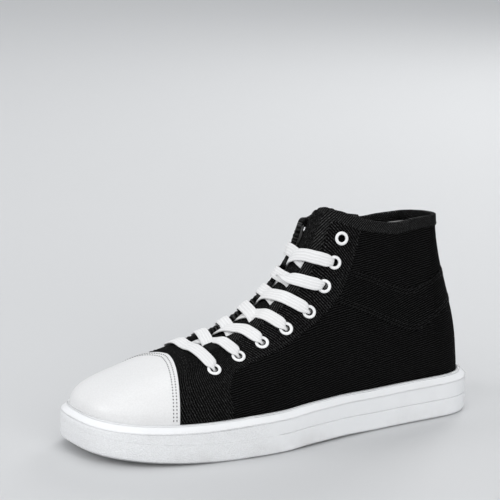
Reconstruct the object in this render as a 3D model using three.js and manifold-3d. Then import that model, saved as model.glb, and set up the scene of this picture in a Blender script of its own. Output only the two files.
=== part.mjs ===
// A left high top sneaker: canvas upper, leather toe cap and rubber cup sole, with flat laces and metal eyelets.
// Millimetres. +Z is up, the toe points to -Y and the outer (lateral) side of the foot is +X.
// Inside the file a point is placed by "along", the distance from the sole's back end towards the toe,
// by "across", the distance from the mid plane towards the outer side, and by "up", the height.
import * as THREE from "three";
import { mergeVertices } from "three/addons/utils/BufferGeometryUtils.js";
import Module from "manifold-3d";

const wasm = await Module();
wasm.setup();

// Driving sizes of the sole
const soleLength = 298;
const ballWidth = 106.4;
const heelWidth = 77;
const footShift = 0.8; // the outer half of the ball is this much wider than half of ballWidth
const outerWaist = 3;
const innerWaist = 8;
const toeShift = 6; // the toe leans this far towards the big toe
const middleBow = 4.4; // the shank bows this far towards the outer side
const toeSpring = 6.5;
const springStart = 0.68; // share of soleLength
const leanStart = 0.45; // the toe's lean starts here, as a share of soleLength
const archRise = 1;
const lipAtHeel = 29.2; // height of the sole's top lip over its own underside
const lipAtBall = 27.4;
const lipAtToe = 23.2;
const lipBand = 4.6; // height of the bevelled band under the lip
const lipWidth = 1.9;
const floorAtHeel = 14; // rubber under the foot
const floorAtBall = 11;
const floorAtToe = 9.5;
const grooveUp = 13;
const grooveDepth = 0.9;
const grooveHalf = 0.9;
const grooveEnd = 182; // the foxing groove runs from the heel to here
const edgeRound = 3;
const lugGroove = 2.6;
const lugDepth = 1.6;
const lugPitch = 11;
const lugBorder = 9;
const lugSlant = 22; // degrees
const heelLugs = 0.3; // the heel's lugs end and the forefoot's lugs start at these shares of soleLength
const forefootLugs = 0.56;

// Driving sizes of the upper
const upperInset = 6.5; // upper's outline at the lip, in from the sole's edge
const wall = 2;
const collarHeight = 139.4; // at the back
const collarDip = 1.8; // and how much lower the rim's lowest place is
const collarPeak = 150;
const innerDrop = 5.7; // the inner rim lies this much lower than the outer rim
const collarWidth = 50;
const collarBack = 26; // the collar's back lies this far in from the sole's back end
const heelTuck = 2.4; // the back draws in above the sole
const tuckUp = 45; // where the heel's tuck is deepest, fading out by tuckTop
const tuckTop = 75;
const leanFrom = 38; // the back leans in between these heights
const leanTo = 140;
const sidesFrom = 40; // and the sides draw in from this one up
const ankleUp = 107;
const shaftAtBack = 0.86; // shares of collarWidth at the heel's centre and at the throat
const shaftAtThroat = 1.08;
const shaftFront = 0.4; // the narrow shaft gives way to the instep between these shares of soleLength
const instepStart = 0.62;
const throatFront = 222;
const throatHalf = 9.5;
const throatHalfAtTop = 11;
// Shares of soleLength: the throat's cut reaches back to throatBack, and widens between the other two
const throatBack = 0.3;
const throatBend = 0.5;
const shinFoot = 0.42;
const facingCorner = 131; // the facings' rounded top corners end here along the foot
const cornerLength = 15;
const cornerDrop = 24;
const facingLean = 0.3; // the inner facing's top lies lower than the outer one's
const gap = 0.3;

// Driving sizes of the other pieces
const capEdge = 231.5; // the cap's rear edge at the ridge
const capSweep = 21.7; // and how much further forward it meets the sole
const capBend = 1.4;
const capLeather = 1;
const insoleThickness = 4.5;
const tongueThickness = 2.6;
const tongueHalf = 25;
const tongueHalfAtTop = 25;
const tongueTop = 150.5;
const tongueRounding = 12;
const tonguePeak = 7; // the tongue stands highest this far towards the outer side
const tongueGap = 1.8; // leaves room for the eyelets' inner rims
const tongueLean = 4; // the free top leans back
const tongueBack = 0.345; // share of soleLength
const tongueSewn = 8; // the tongue's front reaches this far under the vamp
const eyeletRadius = 4.65;
const eyeletBore = 2.2;
const eyeletMetal = 0.6;
const eyeletStep = 1.1; // the inner rim is this much narrower than the outer one
const eyeletEdge = 0.35; // the outer rim's rounded edge
const laceWidth = soleLength / 37; // 8 mm here, and narrower on a small shoe, whose eyelets are closer
const laceThickness = 1.2;

// Plan outline: a heel arc, a waisted middle and a toe arc, all superellipses on a bowed centre line
const heelCentre = 0.13 * soleLength;
const ballCentre = 0.66 * soleLength;
const heelSquare = 2.6;
const collarSquare = 2; // the shaft's back is rounder than the heel's
const toeSquare = 2.9;
const heelSteps = 6;
const roundSteps = 8; // sides of the turned eyelets
// Places of the middle stations, as shares of soleLength: closest where the shin line is steepest
const middlePlaces = [0.18, 0.24, 0.295, 0.34, 0.37, 0.393, 0.413, 0.433, 0.455, 0.485, 0.525, 0.57, 0.615];
const toeSteps = 8;

// Sections of the last along the foot. at: share of soleLength. ridge: height of the instep line as a share
// of collarPeak. roundness: exponent of the section, 2 is an ellipse and less is a roof.
const sections = [
  { at: 0.0, ridge: 1.4, roundness: 3.2 },
  { at: 0.3, ridge: 1.36, roundness: 3.0 },
  { at: 0.385, ridge: 1.12, roundness: 2.7 },
  { at: 0.42, ridge: 0.96, roundness: 2.45 },
  { at: 0.445, ridge: 0.83, roundness: 2.2 },
  { at: 0.5, ridge: 0.68, roundness: 1.95 },
  { at: 0.57, ridge: 0.563, roundness: 1.8 },
  { at: 0.64, ridge: 0.485, roundness: 1.8 },
  { at: 0.715, ridge: 0.446, roundness: 1.85 },
  { at: 0.8, ridge: 0.405, roundness: 2.0 },
  { at: 0.88, ridge: 0.37, roundness: 2.2 },
  { at: 1.0, ridge: 0.35, roundness: 2.4 },
];

// Eyelet rows from the toe up. at: share of soleLength. up: share of collarPeak.
const eyeletRows = [
  { at: 0.721, up: 0.372 },
  { at: 0.655, up: 0.411 },
  { at: 0.594, up: 0.457 },
  { at: 0.534, up: 0.507 },
  { at: 0.475, up: 0.57 },
  { at: 0.432, up: 0.674 },
  { at: 0.404, up: 0.774 },
  { at: 0.383, up: 0.877 },
];
const lacedRows = 7;
const innerLower = 2.28; // the inner side's top eyelet lies this much lower than the outer one
const ventEyelets = [
  { at: 0.309, up: 0.307 },
  { at: 0.383, up: 0.307 },
];

const clamp = (v, lo, hi) => Math.min(hi, Math.max(lo, v));
const mix = (a, b, t) => a + (b - a) * t;
const smooth = (v, lo, hi) => {
  const t = clamp((v - lo) / (hi - lo), 0, 1);
  return t * t * (3 - 2 * t);
};

// A smooth curve through table rows, without overshoot, read at a share of the length
function readTable(rows, column, share) {
  const last = rows.length - 1;
  if (share <= rows[0].at) return rows[0][column];
  if (share >= rows[last].at) return rows[last][column];
  const slope = (i) => (rows[i + 1][column] - rows[i][column]) / (rows[i + 1].at - rows[i].at);
  const tangent = (i) => {
    if (i === 0 || i === last) return 0;
    const before = slope(i - 1);
    const after = slope(i);
    return before * after <= 0 ? 0 : (2 * before * after) / (before + after);
  };
  const i = rows.findIndex((row, k) => share < rows[k + 1].at);
  const span = rows[i + 1].at - rows[i].at;
  const t = (share - rows[i].at) / span;
  const value = (k) => rows[k][column];
  return (
    (1 + 2 * t) * (1 - t) ** 2 * value(i) +
    t * (1 - t) ** 2 * span * tangent(i) +
    t * t * (3 - 2 * t) * value(i + 1) +
    t * t * (t - 1) * span * tangent(i + 1)
  );
}

const centreLine = (along) =>
  middleBow * Math.sin(Math.PI * clamp(along / soleLength, 0, 1)) -
  toeShift * clamp((along / soleLength - leanStart) / (1 - leanStart), 0, 1) ** 2;
const underside = (along) => {
  const share = along / soleLength;
  const arch = archRise * smooth(share, 0.3, 0.42) * (1 - smooth(share, 0.5, 0.58));
  return arch + toeSpring * clamp((share - springStart) / (1 - springStart), 0, 1) ** 2;
};
const byLength = (along, heel, ball, toe) =>
  along < ballCentre
    ? mix(heel, ball, clamp(along / ballCentre, 0, 1))
    : mix(ball, toe, clamp((along - ballCentre) / (soleLength - ballCentre), 0, 1));
const lipUp = (along) => underside(clamp(along, 0, soleLength)) + byLength(along, lipAtHeel, lipAtBall, lipAtToe);
const floorUp = (along) =>
  underside(clamp(along, 0, soleLength)) + byLength(along, floorAtHeel, floorAtBall, floorAtToe);

const halfHeel = heelWidth / 2;
const halfBall = (side) => ballWidth / 2 + side * footShift;
const waist = (side) => (side > 0 ? outerWaist : innerWaist);

// Half width of the outline between the heel and ball centres, from the centre line
function middleHalf(along, side, inset) {
  const t = clamp((along - heelCentre) / (ballCentre - heelCentre), 0, 1);
  const flare = mix(halfHeel, halfBall(side), t * t * (3 - 2 * t));
  return flare - inset - waist(side) * Math.sin(Math.PI * t) ** 2;
}

// Stations of one side from the heel's back to the toe's tip
const stations = [];
for (let i = 0; i <= heelSteps; i += 1) {
  stations.push({ zone: "heel", turn: (i / heelSteps) * (Math.PI / 2) });
}
for (const place of middlePlaces) {
  stations.push({ zone: "middle", along: place * soleLength });
}
for (let i = 0; i <= toeSteps; i += 1) {
  stations.push({ zone: "toe", turn: (i / toeSteps) * (Math.PI / 2) });
}

// The outline's point at a station, and where its section starts from on the centre line
function outlinePoint(station, side, inset) {
  if (station.zone === "middle") {
    const half = middleHalf(station.along, side, inset);
    return { from: station.along, along: station.along, half };
  }
  const heel = station.zone === "heel";
  const square = heel ? heelSquare : toeSquare;
  const reach = Math.max(0, Math.cos(station.turn)) ** (2 / square);
  const spread = Math.max(0, Math.sin(station.turn)) ** (2 / square);
  if (heel) {
    return {
      from: heelCentre,
      along: heelCentre - (heelCentre - inset) * reach,
      half: (halfHeel - inset) * spread,
    };
  }
  return {
    from: ballCentre,
    along: ballCentre + (soleLength - inset - ballCentre) * spread,
    half: (halfBall(side) - inset) * reach,
  };
}

const ridgeUp = (along) => readTable(sections, "ridge", along / soleLength) * collarPeak;
const roundness = (along) => readTable(sections, "roundness", along / soleLength);

// The shaft narrows from the foot to the collar: 0 at the foot, 1 at the collar
const shaftShare = (along, up) =>
  smooth(up, sidesFrom, collarHeight) *
  (1 - smooth(along, shaftFront * soleLength, instepStart * soleLength));

// Half width of the last at a place along the foot and a height
function wallHalf(along, side, up) {
  const foot = middleHalf(along, side, upperInset);
  const blend = smooth(along, heelCentre, throatBack * soleLength);
  const shaft = (mix(shaftAtBack, shaftAtThroat, blend) * collarWidth) / 2;
  return mix(foot, shaft, shaftShare(along, up));
}

// How far behind the heel's centre the back of the last lies at a height
function backReach(up) {
  const low = heelCentre - upperInset;
  const tuck = heelTuck * smooth(up, lipAtHeel, tuckUp) * (1 - smooth(up, tuckUp, tuckTop));
  return mix(low, heelCentre - collarBack, smooth(up, leanFrom, leanTo)) - 0.5 * tuck;
}

const squareAt = (up) => mix(heelSquare, collarSquare, smooth(up, lipAtHeel, ankleUp));

// How far a point lies out from the last's core: below 1 is inside
function lastValue(along, across, up) {
  const offCentre = across - centreLine(along);
  const side = offCentre >= 0 ? 1 : -1;
  const half = Math.abs(offCentre);
  const base = lipUp(along);
  const n = roundness(along);
  let out;
  if (along < heelCentre) {
    const back = (heelCentre - along) / backReach(up);
    const beside = half / wallHalf(heelCentre, side, up);
    const square = squareAt(up);
    out = (back ** square + beside ** square) ** (1 / square);
  } else if (along > ballCentre) {
    const front = (along - ballCentre) / (soleLength - upperInset - ballCentre);
    const beside = half / (halfBall(side) - upperInset);
    out = (front ** toeSquare + beside ** toeSquare) ** (1 / toeSquare);
  } else {
    out = half / wallHalf(along, side, up);
  }
  const rise = Math.max(0, (up - base) / (ridgeUp(along) - base));
  return (out ** n + rise ** n) ** (1 / n);
}

function lastNormal(along, across, up) {
  const step = 0.5;
  const normal = new THREE.Vector3(
    lastValue(along, across + step, up) - lastValue(along, across - step, up),
    lastValue(along, across, up + step) - lastValue(along, across, up - step),
    lastValue(along + step, across, up) - lastValue(along - step, across, up),
  );
  return normal.set(normal.x, -normal.z, normal.y).normalize();
}

// The widest places of the sole, whose middle is the origin's place across
const reaches = [1, -1].map((side) =>
  Math.max(...stations.map((station) => {
    const p = outlinePoint(station, side, 0);
    return p.half + side * centreLine(p.along);
  })),
);
const boxMiddle = (reaches[0] - reaches[1]) / 2;

// Along is measured from the sole's back end towards the toe, which is -Y. The origin is the middle of the sole.
const toWorld = (along, across, up) => new THREE.Vector3(across - boxMiddle, soleLength / 2 - along, up);

// The last's surface at a station and a level, 0 at the lip and 1 at the ridge
function lastPoint(station, side, level) {
  const rim = outlinePoint(station, side, upperInset);
  const turn = (level * Math.PI) / 2;
  let along = rim.along;
  let across = rim.half;
  let up = lipUp(along);
  for (let pass = 0; pass < 4; pass += 1) {
    const n = roundness(along);
    const inward = Math.cos(turn) ** (2 / n);
    const base = lipUp(along);
    up = mix(base, ridgeUp(along), Math.sin(turn) ** (2 / n));
    if (station.zone === "heel") {
      const reach = Math.max(0, Math.cos(station.turn)) ** (2 / squareAt(up));
      const spread = Math.sin(station.turn) ** (2 / squareAt(up));
      along = heelCentre - backReach(up) * reach * inward;
      across = wallHalf(heelCentre, side, up) * spread * inward;
    } else if (station.zone === "middle") {
      across = wallHalf(along, side, up) * inward;
    } else {
      along = mix(ballCentre, rim.along, inward);
      across = rim.half * inward;
    }
  }
  return { along, across: centreLine(along) + side * across, up };
}

// Builds a closed solid from rings of points that run round the shoe, lowest ring first.
// Each ring holds the outer side from heel to toe, then the inner side back to the heel.
function solidFromRings(rings) {
  const around = rings[0].length;
  const points = rings.flat();
  const faces = [];
  for (let r = 0; r + 1 < rings.length; r += 1) {
    for (let i = 0; i < around; i += 1) {
      const a = r * around + i;
      const b = r * around + ((i + 1) % around);
      faces.push(a, b + around, b, a, a + around, b + around);
    }
  }
  const lid = (start, flip) => {
    for (let i = 0; i < around / 2; i += 1) {
      const outer = start + i;
      const outerNext = start + i + 1;
      const inner = start + ((around - i) % around);
      const innerNext = start + around - i - 1;
      const pair = [outer, outerNext, innerNext, outer, innerNext, inner];
      faces.push(...(flip ? pair.reverse() : pair));
    }
  };
  lid(0, false);
  lid((rings.length - 1) * around, true);
  return solidFromMesh(points, faces);
}

// Welds points that coincide and drops faces that have shrunk to nothing
function solidFromMesh(points, faces) {
  const loose = new THREE.BufferGeometry();
  const coords = new Float32Array(points.length * 3);
  points.forEach((p, i) => coords.set([p.x, p.y, p.z], i * 3));
  loose.setAttribute("position", new THREE.BufferAttribute(coords, 3));
  loose.setIndex(faces);
  return solidFromGeometry(loose);
}

function solidFromGeometry(geometry) {
  const bare = new THREE.BufferGeometry();
  bare.setAttribute("position", geometry.getAttribute("position"));
  if (geometry.index) bare.setIndex(geometry.index);
  const merged = mergeVertices(bare, 1e-3);
  const index = merged.index.array;
  const kept = [];
  for (let i = 0; i < index.length; i += 3) {
    const [a, b, c] = [index[i], index[i + 1], index[i + 2]];
    if (a !== b && b !== c && a !== c) kept.push(a, b, c);
  }
  const solid = new wasm.Manifold(
    new wasm.Mesh({
      numProp: 3,
      vertProperties: merged.attributes.position.array,
      triVerts: new Uint32Array(kept),
    }),
  );
  return solid.volume() < 0 ? flipped(merged.attributes.position.array, kept) : solid;
}

function flipped(vertProperties, faces) {
  const triVerts = new Uint32Array(faces);
  for (let i = 0; i < triVerts.length; i += 3) {
    [triVerts[i + 1], triVerts[i + 2]] = [triVerts[i + 2], triVerts[i + 1]];
  }
  return new wasm.Manifold(new wasm.Mesh({ numProp: 3, vertProperties, triVerts }));
}

function bothSides(pointAt) {
  const outer = stations.map((station) => pointAt(station, 1));
  const inner = stations.map((station) => pointAt(station, -1)).reverse();
  return [...outer, ...inner.slice(1, -1)];
}

// A plan ring of the sole's outline at an inset, with its height worked out from the place along the foot
function outlineRing(inset, heightAt) {
  return bothSides((station, side) => {
    const p = outlinePoint(station, side, typeof inset === "function" ? inset(station, side) : inset);
    return toWorld(p.along, centreLine(p.along) + side * p.half, heightAt(p.along));
  });
}

// The last grown by an offset, standing on the floor of the sole or lower
const levels = [0.13, 0.27, 0.41, 0.55, 0.69, 0.82, 0.93];
function grownLast(offset, bottomAt) {
  const rings = [
    outlineRing(upperInset - offset, bottomAt),
    outlineRing(upperInset - offset, (along) => lipUp(along) - lipBand),
  ];
  for (const level of [0.001, ...levels, 1]) {
    rings.push(
      bothSides((station, side) => {
        const p = lastPoint(station, side, level);
        const normal = lastNormal(p.along, p.across, p.up);
        if (level < 0.01) normal.setZ(0).normalize();
        return toWorld(p.along, p.across, p.up).addScaledVector(normal, offset);
      }),
    );
  }
  return solidFromRings(rings);
}

// A prism along one axis from an outline. plane "plan": points are [across, along]. "side": [along, up].
function prism(plane, outline, from, to, steps = 1) {
  const shape = new THREE.Shape(outline.map(([a, b]) => new THREE.Vector2(a, b)));
  const geometry = new THREE.ExtrudeGeometry(shape, { depth: to - from, bevelEnabled: false, steps });
  geometry.translate(0, 0, from);
  const position = geometry.getAttribute("position");
  for (let i = 0; i < position.count; i += 1) {
    const [a, b, c] = [position.getX(i), position.getY(i), position.getZ(i)];
    const p = plane === "plan" ? toWorld(b, a, c) : plane === "side" ? toWorld(a, c, b) : toWorld(c, a, b);
    position.setXYZ(i, p.x, p.y, p.z);
  }
  return solidFromGeometry(geometry);
}

const far = 400;

// Everything above the collar line, tilted so that the inner rim lies lower
function aboveCollar() {
  const shaftMiddle = collarBack + 0.34 * (throatFront - collarBack);
  const cornerStart = facingCorner - cornerLength;
  const line = new THREE.SplineCurve([
    new THREE.Vector2(-0.2 * soleLength, collarHeight + 4),
    new THREE.Vector2(collarBack, collarHeight),
    new THREE.Vector2(mix(collarBack, shaftMiddle, 0.4), collarHeight - 0.4 * collarDip),
    new THREE.Vector2(mix(collarBack, shaftMiddle, 0.66), collarHeight - collarDip),
    new THREE.Vector2(shaftMiddle, mix(collarHeight, collarPeak, 0.19)),
    new THREE.Vector2(mix(shaftMiddle, cornerStart, 0.5), mix(collarHeight, collarPeak, 0.57)),
    new THREE.Vector2(cornerStart, collarPeak),
    new THREE.Vector2(cornerStart + 0.5 * cornerLength, collarPeak - 0.13 * cornerDrop),
    new THREE.Vector2(cornerStart + 0.87 * cornerLength, collarPeak - 0.5 * cornerDrop),
    new THREE.Vector2(facingCorner, collarPeak - cornerDrop),
  ]).getPoints(28);
  const outline = line.map((p) => [p.x, p.y]);
  outline.push([far, outline.at(-1)[1]], [far, far], [outline[0][0], far]);
  const flat = prism("side", outline, -ballWidth, ballWidth, 14);
  const tilt = innerDrop / collarWidth;
  return flat.warp((v) => {
    const across = v[0] + boxMiddle;
    const atFacing = smooth(soleLength / 2 - v[1], facingCorner - 2 * cornerLength, facingCorner - cornerLength);
    const innerSide = Math.min(0, across - throatHalfAtTop);
    v[2] += tilt * (across - collarWidth / 2) + atFacing * facingLean * innerSide;
  });
}

// The lacing gap between the facings, round at its toe end
function throatPlan() {
  const outline = [];
  const steps = 8;
  for (let i = 0; i <= steps; i += 1) {
    const turn = mix(-Math.PI / 2, Math.PI / 2, i / steps);
    const along = throatFront - throatHalf * 1.5 * (1 - Math.cos(turn));
    outline.push([centreLine(throatFront) + throatHalf * Math.sin(turn), along]);
  }
  const ankle = throatBend * soleLength;
  const top = shinFoot * soleLength;
  const behind = throatBack * soleLength;
  outline.push([centreLine(ankle) + throatHalf * 1.1, ankle]);
  outline.push([centreLine(top) + throatHalfAtTop, top], [centreLine(top) + throatHalfAtTop, behind]);
  outline.push([centreLine(top) - throatHalfAtTop, behind], [centreLine(top) - throatHalfAtTop, top]);
  outline.push([centreLine(ankle) - throatHalf * 1.1, ankle]);
  return outline;
}

// Plan area in front of the toe cap's rear edge, which sweeps forward towards the sole
function capPlan(margin) {
  const outline = [];
  const steps = 10;
  for (let i = 0; i <= steps; i += 1) {
    const off = mix(-1, 1, i / steps);
    const along = capEdge - margin + capSweep * Math.abs(off) ** capBend;
    outline.push([centreLine(capEdge) + (off * ballWidth) / 2, along]);
  }
  outline.push([ballWidth, soleLength * 1.1], [-ballWidth, soleLength * 1.1], [-ballWidth, capEdge + capSweep]);
  return outline;
}

const searchPasses = 40; // halvings of a search along a line

// The point of the last's surface at a place along the foot and a height, on one side
function surfaceAt(along, up, side) {
  let near = centreLine(along);
  let away = near + side * ballWidth;
  for (let pass = 0; pass < searchPasses; pass += 1) {
    const middle = (near + away) / 2;
    if (lastValue(along, middle, up) < 1) near = middle;
    else away = middle;
  }
  return { along, across: near, up };
}

// The point of the last's surface over a place in plan
function surfaceOver(along, across) {
  let low = lipUp(along);
  let high = ridgeUp(along) + 1;
  for (let pass = 0; pass < searchPasses; pass += 1) {
    const middle = (low + high) / 2;
    if (lastValue(along, across, middle) < 1) low = middle;
    else high = middle;
  }
  return { along, across, up: low };
}

const placeOf = (p) => [p.along, p.across, p.up];
const onSurface = (p, offset) =>
  toWorld(p.along, p.across, p.up).addScaledVector(lastNormal(p.along, p.across, p.up), offset);

const eyeletSeats = [];
for (const side of [1, -1]) {
  eyeletRows.forEach((row, i) => {
    const lower = side < 0 ? innerLower * (i / lacedRows) : 0;
    const p = surfaceAt(row.at * soleLength, row.up * collarPeak - lower, side);
    eyeletSeats.push({ name: `eyelet_${side > 0 ? "outer" : "inner"}_${i + 1}`, side, row: i, p });
  });
}
ventEyelets.forEach((vent, i) => {
  const p = surfaceAt(vent.at * soleLength, vent.up * collarPeak, -1);
  eyeletSeats.push({ name: `vent_eyelet_${i + 1}`, side: -1, row: -1, p });
});

const seatOf = (side, row) => eyeletSeats.find((seat) => seat.side === side && seat.row === row).p;

// Puts every eyelet on the facets that the upper really has, and turns it to face outwards
let facetedUpper;
function placeSeats(outerForm) {
  facetedUpper = meshOf("faceted", outerForm, new THREE.MeshBasicMaterial({ side: THREE.DoubleSide }));
  const caster = new THREE.Raycaster();
  for (const seat of eyeletSeats) {
    const normal = lastNormal(seat.p.along, seat.p.across, seat.p.up);
    caster.set(onSurface(seat.p, 20), normal.clone().negate());
    seat.at = caster.intersectObject(facetedUpper)[0].point;
    seat.turn = new THREE.Quaternion().setFromUnitVectors(new THREE.Vector3(0, 0, 1), normal);
  }
}

// Turned solids at the eyelets. Each profile row is a radius and a height over the upper's outer face.
function turnedAtSeats(rows) {
  const profile = rows.map((row) => new THREE.Vector2(row.radius, row.up));
  const turned = eyeletSeats.map((seat) => {
    const geometry = new THREE.LatheGeometry(profile, roundSteps).rotateX(Math.PI / 2);
    geometry.applyQuaternion(seat.turn);
    geometry.translate(seat.at.x, seat.at.y, seat.at.z);
    return solidFromGeometry(geometry);
  });
  return wasm.Manifold.union(turned);
}

// The bore through the wall, with a flat seat on either face for the eyelet's rims
function eyeletHoles() {
  const bore = eyeletBore + eyeletMetal + gap;
  const outerSeat = eyeletRadius + gap;
  const innerSeat = eyeletRadius - eyeletStep + gap;
  return turnedAtSeats([
    { radius: 0, up: -3 * wall },
    { radius: innerSeat, up: -3 * wall },
    { radius: innerSeat, up: -wall },
    { radius: bore, up: -wall },
    { radius: bore, up: 0 },
    { radius: outerSeat, up: 0 },
    { radius: outerSeat, up: 2 * wall },
    { radius: 0, up: 2 * wall },
  ]);
}

function makeUpper() {
  const outer = grownLast(0, (along) => floorUp(along) + gap);
  placeSeats(outer);
  const inner = grownLast(-wall, (along) => floorUp(along) - wall);
  const throat = prism("plan", throatPlan(), lipAtHeel, far);
  return outer.subtract(inner).subtract(aboveCollar()).subtract(throat).subtract(eyeletHoles());
}

const capBottom = (along) => lipUp(along) - lipBand - 2;

function makeToeCap() {
  const outer = grownLast(gap + capLeather, capBottom);
  const inner = grownLast(gap, (along) => capBottom(along) - wall);
  return outer.subtract(inner).intersect(prism("plan", capPlan(0), 0, far));
}

function lugGrooves() {
  const grooves = [];
  const reach = ballWidth * 0.62;
  for (let along = lugBorder; along < soleLength - lugBorder; along += lugPitch) {
    const share = along / soleLength;
    const onHeel = share < heelLugs;
    const onForefoot = share > forefootLugs;
    if (!onHeel && !onForefoot) continue;
    for (const side of [1, -1]) {
      const groove = new THREE.BoxGeometry(reach, lugGroove, 4 * lugDepth);
      groove.translate(reach / 2 - 0.5, 0, 0);
      groove.rotateZ(side > 0 ? -THREE.MathUtils.degToRad(lugSlant) : Math.PI + THREE.MathUtils.degToRad(lugSlant));
      const at = toWorld(along, centreLine(along), underside(along) - lugDepth);
      groove.translate(at.x, at.y, at.z);
      grooves.push(solidFromGeometry(groove));
    }
  }
  const border = solidFromRings([
    outlineRing(lugBorder, (along) => underside(along) - far / 10),
    outlineRing(lugBorder, (along) => underside(along) + lugDepth),
  ]);
  return wasm.Manifold.union(grooves).intersect(border);
}

function makeSole() {
  const grooveAt = (station, side) => {
    const p = outlinePoint(station, side, 0);
    return grooveDepth * (1 - smooth(p.along, grooveEnd - 6, grooveEnd));
  };
  const raised = (height) => (along) => underside(along) + height;
  const below = (drop) => (along) => lipUp(along) - drop;
  const body = solidFromRings([
    outlineRing(edgeRound, raised(0)),
    outlineRing(0.3 * edgeRound, raised(0.3 * edgeRound)),
    outlineRing(0, raised(edgeRound)),
    outlineRing(0, raised(grooveUp - grooveHalf)),
    outlineRing(grooveAt, raised(grooveUp)),
    outlineRing(0, raised(grooveUp + grooveHalf)),
    outlineRing(0, below(lipBand)),
    outlineRing(upperInset - lipWidth - gap, below(0.6)),
    outlineRing(upperInset - lipWidth - gap + 0.5, below(0)),
  ]);
  const cavity = grownLast(gap, floorUp);
  const capRoom = grownLast(gap + capLeather + gap, (along) => capBottom(along) - gap);
  return body
    .subtract(cavity)
    .subtract(capRoom.intersect(prism("plan", capPlan(gap), 0, far)))
    .subtract(lugGrooves());
}

function makeInsole() {
  const inset = upperInset + wall + gap;
  return solidFromRings([
    outlineRing(inset, (along) => floorUp(along) + gap),
    outlineRing(inset, (along) => floorUp(along) + gap + insoleThickness - 1),
    outlineRing(inset + 1, (along) => floorUp(along) + gap + insoleThickness),
  ]);
}

function makeTongue() {
  const outside = -wall - tongueGap;
  const outer = grownLast(outside, () => lipAtHeel);
  const inner = grownLast(outside - tongueThickness, () => lipAtHeel - wall);
  const front = throatFront + tongueSewn;
  const back = throatBack * soleLength;
  const plan = prism(
    "plan",
    [
      [centreLine(front) - 0.6 * tongueHalf, front],
      [centreLine(front) + 0.6 * tongueHalf, front],
      [centreLine(ballCentre) + 0.86 * tongueHalf, ballCentre],
      [centreLine(back) + tongueHalf, throatBend * soleLength],
      [centreLine(back) + tongueHalfAtTop, shinFoot * soleLength],
      [centreLine(back) + tongueHalfAtTop, back],
      [centreLine(back) - tongueHalfAtTop, back],
      [centreLine(back) - tongueHalfAtTop, shinFoot * soleLength],
      [centreLine(back) - tongueHalf, throatBend * soleLength],
      [centreLine(ballCentre) - 0.86 * tongueHalf, ballCentre],
    ],
    lipAtHeel + tongueSewn,
    far,
  );
  const middle = centreLine(back);
  const faceOutline = [];
  const steps = 10;
  for (let i = 0; i <= steps; i += 1) {
    const t = mix(-1, 1, i / steps);
    const across = t * (tongueHalf + 3);
    const drop = tongueRounding * ((across - tonguePeak) / tongueHalf) ** 2;
    faceOutline.push([middle + across, tongueTop - drop]);
  }
  faceOutline.push([middle + tongueHalf + 3, 0], [middle - tongueHalf - 3, 0]);
  const face = prism("front", faceOutline, tongueBack * soleLength, soleLength);
  const upright = largest(outer.subtract(inner).intersect(plan).intersect(face));
  return upright.warp((v) => {
    v[1] += tongueLean * smooth(v[2], 0.75 * tongueTop, tongueTop);
  });
}

function largest(solid) {
  return solid.decompose().reduce((best, piece) => (piece.volume() > best.volume() ? piece : best));
}

function eyeletGeometry() {
  const lip = eyeletRadius - eyeletEdge;
  const profile = [
    [eyeletBore, -wall - gap - eyeletMetal],
    [eyeletRadius - eyeletStep, -wall - gap - eyeletMetal],
    [eyeletRadius - eyeletStep, -wall - gap],
    [eyeletBore + eyeletMetal, -wall - gap],
    [eyeletBore + eyeletMetal, gap],
    [eyeletRadius, gap],
    [lip, gap + eyeletMetal],
    [eyeletBore, gap + 0.6 * eyeletMetal],
    [eyeletBore, -wall - gap - eyeletMetal],
  ];
  return new THREE.LatheGeometry(profile.map(([r, h]) => new THREE.Vector2(r, h)), roundSteps).rotateX(Math.PI / 2);
}

// A flat strip with a rectangular section along points that each carry their own outward normal
function strip(path, width, thickness) {
  const points = [];
  const faces = [];
  path.forEach((step, i) => {
    const before = path[Math.max(0, i - 1)].at;
    const after = path[Math.min(path.length - 1, i + 1)].at;
    const forward = after.clone().sub(before).normalize();
    const across = forward.clone().cross(step.normal).normalize().multiplyScalar(width / 2);
    const thick = across.clone().cross(forward).normalize().multiplyScalar(thickness);
    points.push(
      step.at.clone().add(across),
      step.at.clone().sub(across),
      step.at.clone().sub(across).add(thick),
      step.at.clone().add(across).add(thick),
    );
  });
  for (let i = 0; i + 1 < path.length; i += 1) {
    for (let k = 0; k < 4; k += 1) {
      const a = i * 4 + k;
      const b = i * 4 + ((k + 1) % 4);
      faces.push(a, b, b + 4, a, b + 4, a + 4);
    }
  }
  const end = (path.length - 1) * 4;
  faces.push(0, 2, 1, 0, 3, 2, end, end + 1, end + 2, end, end + 2, end + 3);
  return solidFromMesh(points, faces);
}

// How far above its own eyelet row a strand starts, so that it clears the bar or the strand below
const barClearance = 1.85 * laceWidth;
const strandSteps = 8;
const strandClearance = 0.75 * laceWidth;
const laceRise = 1.15; // room for the flat eyelets on the rounded facings
const laceLift = gap + eyeletMetal + laceRise;

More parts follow.
